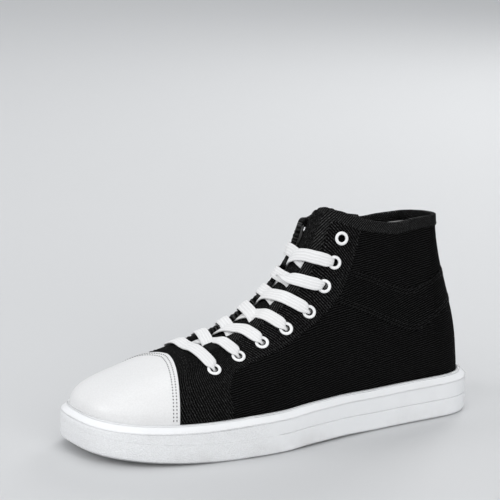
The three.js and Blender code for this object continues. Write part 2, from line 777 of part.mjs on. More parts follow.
// A lace strand between two places on the upper, lifted over the facets and the eyelets' rims below it
function laceStrand(from, to, steps) {
  const ends = [from, to].map((p) => ({
    at: onSurface(p, 0),
    normal: lastNormal(p.along, p.across, p.up),
  }));
  const forward = ends[1].at.clone().sub(ends[0].at).normalize();
  const caster = new THREE.Raycaster();
  const above = 0.2 * soleLength;
  const path = [];
  for (let i = 0; i <= steps; i += 1) {
    const t = i / steps;
    const at = ends[0].at.clone().lerp(ends[1].at, t);
    const normal = ends[0].normal.clone().lerp(ends[1].normal, t);
    normal.addScaledVector(forward, -normal.dot(forward)).normalize();
    const across = forward.clone().cross(normal);
    const heights = [-1, -0.5, 0, 0.5, 1].map((share) => {
      const start = at.clone().addScaledVector(across, (share * laceWidth) / 2).addScaledVector(normal, above);
      caster.set(start, normal.clone().negate());
      const hits = caster.intersectObject(facetedUpper);
      return hits.length ? above - hits[0].distance : -laceLift;
    });
    const lift = Math.max(...heights) + laceLift;
    path.push({ at: at.addScaledVector(normal, lift), normal });
  }
  return strip(path, laceWidth, laceThickness);
}

// Where a strand comes out from under the facing's edge, a little above its own eyelet row
function throatEdge(side, row) {
  const seat = toWorld(...placeOf(seatOf(side, row)));
  const next = toWorld(...placeOf(seatOf(side, row + 1)));
  const climb = next.sub(seat);
  const start = row === 0 ? barClearance : strandClearance;
  const edgeAt = (along) => surfaceOver(along, centreLine(along) + side * (throatHalf - 1));
  let near = throatFront;
  let away = tongueBack * soleLength;
  for (let pass = 0; pass < searchPasses; pass += 1) {
    const middle = (near + away) / 2;
    const rise = toWorld(...placeOf(edgeAt(middle))).sub(seat).dot(climb);
    if (rise < start * climb.length()) near = middle;
    else away = middle;
  }
  return edgeAt(near);
}

const materials = {
  canvas: new THREE.MeshStandardMaterial({ color: 0x141415, roughness: 0.9, metalness: 0 }),
  leather: new THREE.MeshStandardMaterial({ color: 0xf1f1f3, roughness: 0.45, metalness: 0 }),
  rubber: new THREE.MeshStandardMaterial({ color: 0xe9e9ec, roughness: 0.6, metalness: 0 }),
  lining: new THREE.MeshStandardMaterial({ color: 0xdcdcdc, roughness: 0.9, metalness: 0 }),
  enamel: new THREE.MeshStandardMaterial({ color: 0xf4f4f4, roughness: 0.35, metalness: 0.2 }),
  lace: new THREE.MeshStandardMaterial({ color: 0xf2f2f4, roughness: 0.85, metalness: 0 }),
};

const flatEnough = 0.08; // corners that stand less than this out of their neighbours' face are left out

function meshOf(name, solid, material) {
  const made = solid.simplify(flatEnough).getMesh();
  const stride = made.numProp;
  const coords = new Float32Array(made.numVert * 3);
  for (let i = 0; i < made.numVert; i += 1) {
    coords.set(made.vertProperties.subarray(i * stride, i * stride + 3), i * 3);
  }
  const geometry = new THREE.BufferGeometry();
  geometry.setAttribute("position", new THREE.BufferAttribute(coords, 3));
  geometry.setIndex(new THREE.BufferAttribute(new Uint32Array(made.triVerts), 1));
  geometry.computeVertexNormals();
  const mesh = new THREE.Mesh(geometry, material);
  mesh.name = name;
  return mesh;
}

const sneaker = new THREE.Group();
sneaker.add(meshOf("sole", makeSole(), materials.rubber));
sneaker.add(meshOf("upper", makeUpper(), materials.canvas));
sneaker.add(meshOf("toe_cap", makeToeCap(), materials.leather));
sneaker.add(meshOf("insole", makeInsole(), materials.lining));
sneaker.add(meshOf("tongue", makeTongue(), materials.canvas));

for (const seat of eyeletSeats) {
  const eyelet = new THREE.Mesh(eyeletGeometry(), materials.enamel);
  eyelet.name = seat.name;
  eyelet.position.copy(seat.at);
  eyelet.quaternion.copy(seat.turn);
  sneaker.add(eyelet);
}

sneaker.add(meshOf("lace_bar", laceStrand(seatOf(1, 0), seatOf(-1, 0), 10), materials.lace));
for (let row = 0; row + 1 < lacedRows; row += 1) {
  const fromOuter = laceStrand(seatOf(1, row + 1), throatEdge(-1, row), strandSteps);
  const fromInner = laceStrand(seatOf(-1, row + 1), throatEdge(1, row), strandSteps);
  sneaker.add(meshOf(`lace_cross_${row + 1}`, fromOuter.add(fromInner), materials.lace));
}

export default sneaker;
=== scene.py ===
"""Looks of a left high top sneaker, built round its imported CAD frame.

Sizes are in millimetres and turn into metres when a mesh is made. A place on the shoe is told by "along",
the distance from the sole's back end towards the toe, "across", the distance from the mid plane towards the
outer side, and "up", the height. A point array holds world millimetres: x is across, y falls towards the toe.
"""

import math

import bpy
import numpy as np
from mathutils import Matrix, Vector
from mathutils.kdtree import KDTree

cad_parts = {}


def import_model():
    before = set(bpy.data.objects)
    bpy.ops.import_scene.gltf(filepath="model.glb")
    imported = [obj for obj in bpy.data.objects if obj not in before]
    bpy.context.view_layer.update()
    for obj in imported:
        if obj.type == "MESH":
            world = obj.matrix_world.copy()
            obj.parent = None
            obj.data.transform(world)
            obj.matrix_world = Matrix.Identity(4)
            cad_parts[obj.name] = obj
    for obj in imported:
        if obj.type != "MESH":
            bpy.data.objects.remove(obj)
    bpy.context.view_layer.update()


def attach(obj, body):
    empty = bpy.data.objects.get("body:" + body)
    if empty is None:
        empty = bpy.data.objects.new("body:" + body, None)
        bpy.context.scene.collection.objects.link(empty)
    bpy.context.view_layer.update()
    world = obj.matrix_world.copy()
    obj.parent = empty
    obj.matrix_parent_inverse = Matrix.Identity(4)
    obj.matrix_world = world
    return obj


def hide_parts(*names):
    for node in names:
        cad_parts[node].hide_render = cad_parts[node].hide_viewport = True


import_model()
METRE = 0.001
QUARTER = math.pi / 2
FLAT = np.array([1, 1, 0])

# Sole: a size that the CAD has too is the same there
SOLE_LENGTH = 298.0
BALL_WIDTH = 106.4
HEEL_WIDTH = 77.0
FOOT_SHIFT = 0.8
WAIST = {1: 3.0, -1: 8.0}
TOE_SHIFT = 6.0
MIDDLE_BOW = 4.4
LEAN_START = 0.45
TOE_SPRING = 6.5
SPRING_START = 0.68
ARCH_RISE = 1.0
ARCH_SPAN = (0.3, 0.42, 0.5, 0.58)
LIP_HEIGHT = {"heel": 29.2, "ball": 27.4, "toe": 23.2}
FLOOR_HEIGHT = {"heel": 14.0, "ball": 11.0, "toe": 9.5}
GROOVE_DEPTH = 0.9
GROOVE_END = 182.0
EDGE_ROUND = 3.0
HEEL_CENTRE = 0.13 * SOLE_LENGTH
BALL_CENTRE = 0.66 * SOLE_LENGTH
HEEL_SQUARE = 2.6
COLLAR_SQUARE = 2.0
TOE_SQUARE = 2.9
LUG_BORDER = 9.0
LUG_PITCH = 11.0
LUG_GROOVE = 2.6
LUG_DEPTH = 1.6
LUG_SLANT = math.radians(22)
LUG_WAIST = (0.3, 0.56)
LUG_INSET = 3.0
FLOOR_INSET = 6.0

# Upper: a size that the CAD has too is the same there
UPPER_INSET = 6.5
WALL = 2.0
COLLAR_HEIGHT = 139.4
COLLAR_DIP = 1.8
COLLAR_PEAK = 150.0
COLLAR_WIDTH = 50.0
COLLAR_BACK = 26.0
INNER_DROP = 5.7
INNER_LOWER = 2.28
HEEL_TUCK = 2.4
TUCK_UP = 45.0
TUCK_TOP = 75.0
ANKLE_UP = 107.0
LEAN_FROM = 38.0
LEAN_TO = 140.0
SIDES_FROM = 40.0
SHAFT_AT_BACK = 0.86
SHAFT_AT_THROAT = 1.08
SHAFT_FRONT = 0.4
INSTEP_START = 0.62
THROAT_BACK = 0.3
SHAFT_MIDDLE = 0.34
THROAT_ALONG = [125, 149, 212]
THROAT_FRONT = 222.0
THROAT_HALF = 9.5
THROAT_HALF_AT_TOP = 11.0
FACING_CORNER = 131.0
CORNER_LENGTH = 15.0
CORNER_DROP = 24.0
FACING_LEAN = 0.3
CAP_EDGE = 231.5
CAP_SWEEP = 21.7
CAP_BEND = 1.4
INSOLE_THICKNESS = 4.5
INSOLE_EASE = 0.4
HEEL_CUP = {"depth": 1.2, "length": 32, "width": 22}
TONGUE_THICKNESS = 2.6
TONGUE_HALF = 25.0
TONGUE_HALF_AT_TOP = 25.0
TONGUE_TOP = 150.5
TONGUE_ROUNDING = 12.0
TONGUE_PEAK = 7.0
TONGUE_GAP = 1.8
TONGUE_LEAN = 4.0
TONGUE_BACK = 0.345
TONGUE_SEWN = 8.0
EYELET_RADIUS = 4.65
EYELET_BORE = 2.2
HOLE_EASE = 0.4

# Sections of the last: share of the sole's length, instep line as a share of COLLAR_PEAK, roundness
SECTIONS = np.array([
    (0.0, 1.4, 3.2),
    (0.3, 1.36, 3.0),
    (0.385, 1.12, 2.7),
    (0.42, 0.96, 2.45),
    (0.445, 0.83, 2.2),
    (0.5, 0.68, 1.95),
    (0.57, 0.563, 1.8),
    (0.64, 0.485, 1.8),
    (0.715, 0.446, 1.85),
    (0.8, 0.405, 2.0),
    (0.88, 0.37, 2.2),
    (1.0, 0.35, 2.4),
])

# Rim of the facings' rounded corner: shares of CORNER_LENGTH and CORNER_DROP
FACING_ROUND = [(0.0, 0.0), (0.5, 0.13), (0.87, 0.5), (1.0, 1.0)]

# Tongue: share of the sole's length, half width
TONGUE_HALVES = [(0.42, TONGUE_HALF_AT_TOP), (0.5, TONGUE_HALF), (0.66, 21.5), (0.79, 15)]

# Eyelets, from the toe up: share of the sole's length, height as a share of COLLAR_PEAK
EYELET_ROWS = [
    (0.721, 0.372), (0.655, 0.411), (0.594, 0.457), (0.534, 0.507),
    (0.475, 0.57), (0.432, 0.674), (0.404, 0.774), (0.383, 0.877),
]
VENT_EYELETS = [(0.309, 0.307), (0.383, 0.307)]
LACED_ROWS = 7

# Seams in side view, as pairs of along and up
FRONT_SEAM = [
    (94, 152), (98, 140), (104, 124), (110, 110), (118, 96), (132, 83), (151, 72),
    (166, 65), (186, 59), (203, 53), (209, 46), (210, 36), (210, 10),
]
BAND_TOP = [(-17, 102), (29, 100), (41, 96), (51, 93), (63, 93), (79, 98.5), (95, 106), (128, 118)]
BAND_BOTTOM = [
    (-15, 78), (19, 77), (31, 73), (43, 66.5), (52, 63), (65, 65), (83, 73), (103, 82.5), (140, 98),
]

# Soft creases pressed into the upper by wear: side, start and end in side view, width, depth of the trough
CREASES = [
    (1, (112, 60), (84, 40), 9, 0.55),
    (1, (96, 122), (58, 112), 8, 0.45),
    (1, (70, 56), (36, 52), 10, 0.5),
    (1, (150, 52), (172, 38), 8, 0.4),
    (1, (104, 96), (128, 70), 10, 0.5),
    (-1, (110, 66), (80, 44), 9, 0.6),
    (-1, (98, 118), (60, 110), 9, 0.5),
    (-1, (150, 56), (176, 40), 8, 0.5),
]

# How far the outside and the inside of each layer stand off the canvas
LAYERS = {
    "canvas": (0.0, -1.15),
    "lining": (-1.1, -2.0),
    "front_panel": (0.45, -0.3),
    "ankle_band": (0.35, -0.3),
    "binding": (0.85, -2.4),
    "inner_band": (-1.9, -2.35),
    "toe_cap": (1.35, 0.1),
}
CUT_EDGE = 0.3
SEAM_LAP = 5.0
CANVAS_LAP = 6.0
CANVAS_UNDER_CAP = 8.0
PANEL_UNDER_CAP = 4.0
BAND_UNDER_PANEL = 2.5
BINDING_WIDTH = 7.0
BINDING_INSIDE = 4.6
BINDING_FRONT = 210.5
INNER_BAND = (2.0, 6.2)
LINING_HOLE = 2.4
BACK_SEAM = 4.4
BINDING_STEP = 0.8
LINING_BELOW_RIM = 1.2
LINING_OVER_FLOOR = 3.5
TONGUE_TAPE = 4.5
TONGUE_SEEN = 62.0

# Rows of stitches: their distances from the seams
FRONT_STITCHES = (1.4, 3.8)
BAND_TOP_STITCHES = (-1.3, -3.6)
BAND_BOTTOM_STITCHES = (1.3, 3.6)
BINDING_STITCHES = (BINDING_WIDTH - 1.0,)
BACK_STITCHES = (BACK_SEAM / 2,)
VAMP_STITCHES = (-6.2, -8.2)
CAP_STITCHES = (2.0, 4.4)
TONGUE_STITCHES = (3.6, 7.0)


def mix(first, second, share):
    return first + (second - first) * share


def smooth(value, low, high):
    share = np.clip((value - low) / (high - low), 0, 1)
    return share * share * (3 - 2 * share)


def section_curve(column, samples=1600):
    """Dense samples of a smooth curve through one column of SECTIONS, without overshoot."""
    at, value = SECTIONS[:, 0], SECTIONS[:, column]
    slope = np.diff(value) / np.diff(at)
    tangent = np.zeros(len(at))
    before, after = slope[:-1], slope[1:]
    same_way = before * after > 0
    tangent[1:-1][same_way] = (2 * before * after)[same_way] / (before + after)[same_way]
    where = np.linspace(at[0], at[-1], samples)
    i = np.clip(np.searchsorted(at, where, side="right") - 1, 0, len(at) - 2)
    span = at[i + 1] - at[i]
    t = (where - at[i]) / span
    curve = (1 + 2 * t) * (1 - t) ** 2 * value[i]
    curve += t * (1 - t) ** 2 * span * tangent[i]
    curve += t * t * (3 - 2 * t) * value[i + 1]
    curve += t * t * (t - 1) * span * tangent[i + 1]
    return where, curve


RIDGE_CURVE = section_curve(1)
ROUNDNESS_CURVE = section_curve(2)


def ridge_up(along):
    return np.interp(along / SOLE_LENGTH, *RIDGE_CURVE) * COLLAR_PEAK


def roundness(along):
    return np.interp(along / SOLE_LENGTH, *ROUNDNESS_CURVE)


def centre_line(along):
    share = np.clip(along / SOLE_LENGTH, 0, 1)
    lean = np.clip((share - LEAN_START) / (1 - LEAN_START), 0, 1) ** 2
    return MIDDLE_BOW * np.sin(math.pi * share) - TOE_SHIFT * lean


def underside(along):
    share = np.clip(along / SOLE_LENGTH, 0, 1)
    arch = ARCH_RISE * smooth(share, *ARCH_SPAN[:2]) * (1 - smooth(share, *ARCH_SPAN[2:]))
    return arch + TOE_SPRING * np.clip((share - SPRING_START) / (1 - SPRING_START), 0, 1) ** 2


def height_over(along, heights):
    ends = [0, BALL_CENTRE, SOLE_LENGTH]
    return underside(along) + np.interp(along, ends, [heights[k] for k in ("heel", "ball", "toe")])


def lip_up(along):
    return height_over(along, LIP_HEIGHT)


def floor_up(along):
    return height_over(along, FLOOR_HEIGHT)


def half_ball(side):
    return BALL_WIDTH / 2 + side * FOOT_SHIFT


def middle_half(along, side, inset):
    t = np.clip((along - HEEL_CENTRE) / (BALL_CENTRE - HEEL_CENTRE), 0, 1)
    flare = mix(HEEL_WIDTH / 2, half_ball(side), t * t * (3 - 2 * t))
    return flare - inset - np.where(side > 0, WAIST[1], WAIST[-1]) * np.sin(math.pi * t) ** 2


def shaft_share(along, up):
    instep = smooth(along, SHAFT_FRONT * SOLE_LENGTH, INSTEP_START * SOLE_LENGTH)
    return smooth(up, SIDES_FROM, COLLAR_HEIGHT) * (1 - instep)


def wall_half(along, side, up):
    foot = middle_half(along, side, UPPER_INSET)
    behind, beside = SHAFT_AT_BACK * COLLAR_WIDTH / 2, SHAFT_AT_THROAT * COLLAR_WIDTH / 2
    shaft = mix(behind, beside, smooth(along, HEEL_CENTRE, THROAT_BACK * SOLE_LENGTH))
    return mix(foot, shaft, shaft_share(along, up))


def back_reach(up):
    tuck = HEEL_TUCK * smooth(up, LIP_HEIGHT["heel"], TUCK_UP) * (1 - smooth(up, TUCK_UP, TUCK_TOP))
    upright = smooth(up, LEAN_FROM, LEAN_TO)
    return mix(HEEL_CENTRE - UPPER_INSET, HEEL_CENTRE - COLLAR_BACK, upright) - 0.5 * tuck


def square_at(up):
    return mix(HEEL_SQUARE, COLLAR_SQUARE, smooth(up, LIP_HEIGHT["heel"], ANKLE_UP))


def last_value(along, across, up):
    """Below 1 inside the last, 1 on its surface."""
    off = across - centre_line(along)
    side = np.where(off >= 0, 1, -1)
    half = np.abs(off)
    base = lip_up(along)
    square = square_at(up)
    back = np.maximum(HEEL_CENTRE - along, 0) / back_reach(up)
    beside = half / wall_half(np.maximum(along, HEEL_CENTRE), side, up)
    behind = (back**square + beside**square) ** (1 / square)
    front = np.maximum(along - BALL_CENTRE, 0) / (SOLE_LENGTH - UPPER_INSET - BALL_CENTRE)
    toe_beside = half / (half_ball(side) - UPPER_INSET)
    before = (front**TOE_SQUARE + toe_beside**TOE_SQUARE) ** (1 / TOE_SQUARE)
    out = np.where(along < HEEL_CENTRE, behind, np.where(along > BALL_CENTRE, before, beside))
    rise = np.maximum(0, (up - base) / (ridge_up(along) - base))
    n = roundness(along)
    return (out**n + rise**n) ** (1 / n)


def reaches(side):
    along = np.linspace(0.3, 0.9, 4001) * SOLE_LENGTH
    front = np.clip((along - BALL_CENTRE) / (SOLE_LENGTH - BALL_CENTRE), 0, 1)
    toe = half_ball(side) * (1 - front**TOE_SQUARE) ** (1 / TOE_SQUARE)
    half = np.where(along > BALL_CENTRE, toe, middle_half(along, side, 0))
    return np.max(half + side * centre_line(along))


BOX_MIDDLE = (reaches(1) - reaches(-1)) / 2


def world(along, across, up):
    parts = np.broadcast_arrays(across - BOX_MIDDLE, SOLE_LENGTH / 2 - np.asarray(along, float), up)
    return np.stack(parts, -1)


def place(points):
    """Along, across and up of world points."""
    return SOLE_LENGTH / 2 - points[..., 1], points[..., 0] + BOX_MIDDLE, points[..., 2]


def unit(vectors):
    return vectors / np.maximum(np.linalg.norm(vectors, axis=-1, keepdims=True), 1e-9)


def slope_at(points, step=0.5):
    """How much last_value grows over a millimetre along each axis."""
    along, across, up = place(points)
    growth = [
        last_value(along, across + step, up) - last_value(along, across - step, up),
        last_value(along - step, across, up) - last_value(along + step, across, up),
        last_value(along, across, up + step) - last_value(along, across, up - step),
    ]
    return np.stack(growth, -1) / (2 * step)


def normals_at(points):
    return unit(slope_at(points))


def on_last(points, rounds=8):
    """Points pulled onto the last."""
    for _ in range(rounds):
        slope = slope_at(points)
        miss = 1 - last_value(*place(points))
        points = points + slope * (miss / np.maximum((slope**2).sum(-1), 1e-9))[..., None]
    return points


def crease_depth(points):
    """How deep the worn creases press the skin in at each point."""
    along, across, up = place(points)
    depth = np.zeros(along.shape)
    for side, start, end, width, trough in CREASES:
        start, line = np.array(start, float), np.subtract(end, start)
        share = ((along - start[0]) * line[0] + (up - start[1]) * line[1]) / (line @ line)
        share = np.clip(share, 0, 1)
        gap = np.hypot(along - start[0] - share * line[0], up - start[1] - share * line[1])
        ripple = gap / width
        wave = np.exp(-ripple**2) - 0.45 * np.exp(-((ripple - 1.5) ** 2) * 2)
        depth += np.where(np.sign(across - centre_line(along)) == side, trough * wave, 0)
    return depth


def skin(points, offset):
    """Points moved off the upper's surface, creases included."""
    shift = offset - crease_depth(points)
    return points + normals_at(points) * np.broadcast_to(shift, points.shape[:-1])[..., None]


def run_along(line):
    """Distance from the start along a line of points, or along every line of a grid."""
    step = np.linalg.norm(np.diff(line, axis=-2), axis=-1)
    return np.concatenate([np.zeros_like(step[..., :1]), np.cumsum(step, -1)], -1)


def sampled(rows, run, wanted):
    """Rows of numbers read off at the wanted places of a run."""
    return np.stack([np.interp(wanted, run, column) for column in rows.T], -1)


def even_turns(square, reach, spread, count):
    """Turns of a rounded quarter, evenly spaced along it."""
    turn = np.linspace(0, QUARTER, 4000)
    quarter = np.stack([reach * np.cos(turn) ** (2 / square), spread * np.sin(turn) ** (2 / square)], -1)
    run = run_along(quarter)
    return np.interp(np.linspace(0, run[-1], count), run, turn)


class Stations:
    """Places round one side of the outline, from the heel's back to the toe's tip, evenly spaced."""

    def __init__(self, spacing):
        toe_reach = SOLE_LENGTH - BALL_CENTRE
        heel_count = int(1.3 * HEEL_CENTRE / spacing)
        middle_count = int((BALL_CENTRE - HEEL_CENTRE) / spacing)
        toe_count = int(1.25 * toe_reach / spacing)
        heel = even_turns(HEEL_SQUARE, HEEL_CENTRE, HEEL_WIDTH / 2, heel_count)
        toe = even_turns(TOE_SQUARE, BALL_WIDTH / 2, toe_reach, toe_count)
        middle = np.linspace(HEEL_CENTRE, BALL_CENTRE, middle_count)[1:-1]
        self.zone = np.repeat([0, 1, 2], [heel_count, len(middle), toe_count])
        self.turn = np.concatenate([heel, np.zeros(len(middle)), toe])
        self.along = np.concatenate([np.zeros(heel_count), middle, np.zeros(toe_count)])

    def outline(self, side, inset):
        """Along and half width of the outline, moved in by an inset."""
        cos, sin = np.maximum(np.cos(self.turn), 0), np.sin(self.turn)
        heel_along = HEEL_CENTRE - (HEEL_CENTRE - inset) * cos ** (2 / HEEL_SQUARE)
        heel_half = (HEEL_WIDTH / 2 - inset) * sin ** (2 / HEEL_SQUARE)
        toe_along = BALL_CENTRE + (SOLE_LENGTH - inset - BALL_CENTRE) * sin ** (2 / TOE_SQUARE)
        toe_half = (half_ball(side) - inset) * cos ** (2 / TOE_SQUARE)
        along = np.select([self.zone == 0, self.zone == 1], [heel_along, self.along], toe_along)
        half = middle_half(self.along, side, inset)
        return along, np.select([self.zone == 0, self.zone == 1], [heel_half, half], toe_half)

    def ring(self, inset, up_at):
        """A closed ring: outer side to the toe, then the inner side back to the heel."""
        sides = []
        for side in (1, -1):
            along, half = self.outline(side, inset)
            sides.append(world(along, centre_line(along) + side * half, up_at(along)))
        return np.concatenate([sides[0], sides[1][-2:0:-1]])

    def section(self, side, levels):
        """The last's surface on one side. Level 0 is at the lip and level 1 on the ridge."""
        rim_along, rim_half = (v[:, None] for v in self.outline(side, UPPER_INSET))
        zone = self.zone[:, None]
        cos, sin = np.maximum(np.cos(self.turn), 0)[:, None], np.sin(self.turn)[:, None]
        turn = levels[None, :] * QUARTER
        along = rim_along * np.ones_like(turn)
        for _ in range(5):
            n = roundness(along)
            inward = np.maximum(np.cos(turn), 0) ** (2 / n)
            base = lip_up(along)
            up = mix(base, ridge_up(along), np.sin(turn) ** (2 / n))
            square = square_at(up)
            heel_along = HEEL_CENTRE - back_reach(up) * cos ** (2 / square) * inward
            heel_half = wall_half(HEEL_CENTRE, side, up) * sin ** (2 / square) * inward
            toe_along = mix(BALL_CENTRE, rim_along, inward)
            half = wall_half(self.along[:, None] * np.ones_like(turn), side, up) * inward
            along = np.select([zone == 0, zone == 1], [heel_along, self.along[:, None] + 0 * up], toe_along)
            half = np.select([zone == 0, zone == 1], [heel_half, half], rim_half * inward)
        return world(along, centre_line(along) + side * half, up)


def even_rows(grid, count):
    """Every column of a grid of points resampled into rows that are evenly spaced along it."""
    columns = zip(grid, run_along(grid))
    return np.stack([sampled(column, run, np.linspace(0, run[-1], count)) for column, run in columns])


class Sheet:
    """A triangle sheet. values holds named numbers for its points, such as distances to seams."""

    def __init__(self, points, faces, values):
        self.points, self.faces, self.values = points, faces, values

    def cut(self, field):
        """The part of the sheet where the field is above 0, with a clean edge."""
        field = np.where(np.abs(field) < 1e-3, 1e-3, field)
        inside = field[self.faces] > 0
        count = inside.sum(1)
        crossed = (count == 1) | (count == 2)
        cuts, low, high, extra = {}, [], [], []

        def cross(a, b):
            key = (a, b) if a < b else (b, a)
            if key not in cuts:
                cuts[key] = len(self.points) + len(cuts)
                low.append(key[0])
                high.append(key[1])
            return cuts[key]

        for face, within in zip(self.faces[crossed].tolist(), inside[crossed]):
            lone = int(np.argmax(within)) if within.sum() == 1 else int(np.argmin(within))
            a, b, c = (face[(lone + k) % 3] for k in range(3))
            ab, ac = cross(a, b), cross(a, c)
            extra += [(a, ab, ac)] if within.sum() == 1 else [(ab, b, c), (ab, c, ac)]
        share = field[low] / (field[low] - field[high])

        def grown(values):
            added = mix(values[low].T, values[high].T, share).T
            return np.concatenate([values, added])

        faces = np.concatenate([self.faces[count == 3], np.array(extra, int).reshape(-1, 3)])
        used, index = np.unique(faces, return_inverse=True)
        values = {name: grown(column)[used] for name, column in self.values.items()}
        kept = Sheet(grown(self.points)[used], index.reshape(-1, 3), values)
        kept.on_cut = used >= len(self.points)
        return kept

    def rim(self):
        """Directed edges that only one face uses."""
        edges = np.concatenate([self.faces[:, pair] for pair in ([0, 1], [1, 2], [2, 0])])
        size = len(self.points)
        forward = edges[:, 0] * size + edges[:, 1]
        backward = edges[:, 1] * size + edges[:, 0]
        return edges[~np.isin(forward, backward)]

    def flat_map(self):
        return np.stack([self.values["flat_u"], self.values["flat_v"]], -1)


def grid_faces(columns, rows, columns_join, rows_join):
    """Triangles for a grid of points, whose last column or row may join up with the first."""
    spans = np.arange(columns - (not columns_join)), np.arange(rows - (not rows_join))
    i, k = np.meshgrid(*spans, indexing="ij")
    following, above = (i + 1) % columns, (k + 1) % rows
    corners = [i * rows + k, i * rows + above, following * rows + above, following * rows + k]
    quads = np.stack(corners, -1).reshape(-1, 4)
    return np.concatenate([quads[:, [0, 1, 2]], quads[:, [0, 2, 3]]])


def grid_sheet(grid, values):
    """A sheet from a grid of points whose columns join up round the shoe, facing out."""
    points = grid.reshape(-1, 3)
    faces = grid_faces(*grid.shape[:2], True, False)
    corner = points[faces]
    area = np.linalg.norm(np.cross(corner[:, 1] - corner[:, 0], corner[:, 2] - corner[:, 0]), axis=1)
    flat_values = {name: np.broadcast_to(v, grid.shape[:2]).reshape(-1) for name, v in values.items()}
    return Sheet(points, faces[area > 1e-6], flat_values)


def contours(sheet, field):
    """Lines where the field is 0, as pairs of points and their named values."""
    part = sheet.cut(field)
    following = {}
    for a, b in part.rim().tolist():
        if part.on_cut[a] and part.on_cut[b]:
            following[a] = b
    starts = sorted(set(following) - set(following.values()))
    lines = []
    while following:
        at = starts.pop() if starts else next(iter(following))
        line = [at]
        while at in following:
            at = following.pop(at)
            line.append(at)
        lines.append((part.points[line], {name: column[line] for name, column in part.values.items()}))
    return lines


def gap_to(targets, points):
    """Distance from each point to the nearest target."""
    tree = KDTree(len(targets))
    for i, target in enumerate(targets):
        tree.insert(target, i)
    tree.balance()
    return np.array([tree.find(point)[2] for point in points])


def denser(line, spacing=0.25):
    """A line's points respaced."""
    run = run_along(line)
    return sampled(line, run, np.linspace(0, run[-1], max(int(run[-1] / spacing), 2)))


def true_distance(sheet, field):
    """Distance to where the field is 0, with the field's sign."""
    seam = np.concatenate([denser(points) for points, _ in contours(sheet, field)])
    return np.sign(field) * gap_to(seam, sheet.points)


def side_field(sheet, seam):
    """Above 0 on the side view's upper or front side of a seam, in millimetres in that view."""
    along, _, up = place(sheet.points)
    line = rounded_line(np.array(seam, float), 8)
    start, span = line[:-1], np.diff(line, axis=0)
    ahead, above = along[:, None] - start[:, 0], up[:, None] - start[:, 1]
    share = np.clip((ahead * span[:, 0] + above * span[:, 1]) / (span**2).sum(1), 0, 1)
    x, y = ahead - share * span[:, 0], above - share * span[:, 1]
    gap = np.hypot(x, y)
    turn = span[:, 0] * y - span[:, 1] * x
    nearest = np.argmin(gap, 1)[:, None]
    return (np.sign(np.take_along_axis(turn, nearest, 1)) * np.take_along_axis(gap, nearest, 1))[:, 0]


def rounded_line(line, steps):
    """A smooth line through the given points."""
    padded = np.concatenate([[2 * line[0] - line[1]], line, [2 * line[-1] - line[-2]]])
    t = np.linspace(0, 1, steps, endpoint=False)[:, None]
    parts = []
    for i in range(1, len(padded) - 2):
        p0, p1, p2, p3 = padded[i - 1 : i + 3]
        curve = 2 * p1 + (p2 - p0) * t + (2 * p0 - 5 * p1 + 4 * p2 - p3) * t**2
        curve = curve + (3 * p1 - p0 - 3 * p2 + p3) * t**3
        parts.append(curve / 2)
    return np.concatenate(parts + [line[-1:]])


def collar_line(along, across):
    """Height of the collar's rim and of the facings' rounded corners."""
    middle = mix(COLLAR_BACK, THROAT_FRONT, SHAFT_MIDDLE)
    corner = FACING_CORNER - CORNER_LENGTH
    climb = COLLAR_PEAK - COLLAR_HEIGHT
    rim = [
        (-0.2 * SOLE_LENGTH, COLLAR_HEIGHT + 4),
        (COLLAR_BACK, COLLAR_HEIGHT),
        (mix(COLLAR_BACK, middle, 0.4), COLLAR_HEIGHT - 0.4 * COLLAR_DIP),
        (mix(COLLAR_BACK, middle, 0.66), COLLAR_HEIGHT - COLLAR_DIP),
        (middle, COLLAR_HEIGHT + 0.19 * climb),
        (mix(middle, corner, 0.5), COLLAR_HEIGHT + 0.57 * climb),
    ]
    for ahead, down in FACING_ROUND:
        rim.append((corner + ahead * CORNER_LENGTH, COLLAR_PEAK - down * CORNER_DROP))
    line = rounded_line(np.array(rim), 12)
    up = np.interp(along, line[:, 0], line[:, 1])
    at_facing = smooth(along, FACING_CORNER - 2 * CORNER_LENGTH, corner)
    up = up + INNER_DROP / COLLAR_WIDTH * (across - COLLAR_WIDTH / 2)
    return up + at_facing * FACING_LEAN * np.minimum(0, across - THROAT_HALF_AT_TOP)


def throat_field(along, across):
    """Above 0 outside the lacing gap, in plan."""
    front = THROAT_FRONT - along
    straight = np.interp(along, THROAT_ALONG, [THROAT_HALF_AT_TOP, 1.1 * THROAT_HALF, THROAT_HALF])
    nose = 1.5 * THROAT_HALF
    share = np.clip(1 - front / nose, 0, 1)
    half = straight * np.sqrt(np.clip(1 - share**2, 0, 1))
    beside = np.abs(across - centre_line(np.clip(along, THROAT_ALONG[0], THROAT_FRONT))) - half
    field = np.where(front < 0, np.hypot(np.minimum(front, 0), np.maximum(beside, 0)) + 0.01, beside)
    return np.where(along < THROAT_BACK * SOLE_LENGTH, COLLAR_WIDTH, field)


def cap_field(along, across):
    """Above 0 in front of the toe cap's rear edge, in plan."""
    off = np.abs(across - centre_line(CAP_EDGE)) / (BALL_WIDTH / 2)
    return along - CAP_EDGE - CAP_SWEEP * off**CAP_BEND


def seat_on(spot, side, drop=0.0):
    """The point of the last, and its normal there, at a spot of EYELET_ROWS or VENT_EYELETS."""
    along, up = spot[0] * SOLE_LENGTH, spot[1] * COLLAR_PEAK - drop
    low, high = 0.0, 0.7 * BALL_WIDTH
    for _ in range(40):
        middle = (low + high) / 2
        if last_value(along, centre_line(along) + side * middle, up) < 1:
            low = middle
        else:
            high = middle
    point = world(along, centre_line(along) + side * low, up)
    return {"point": point, "normal": normals_at(point)}


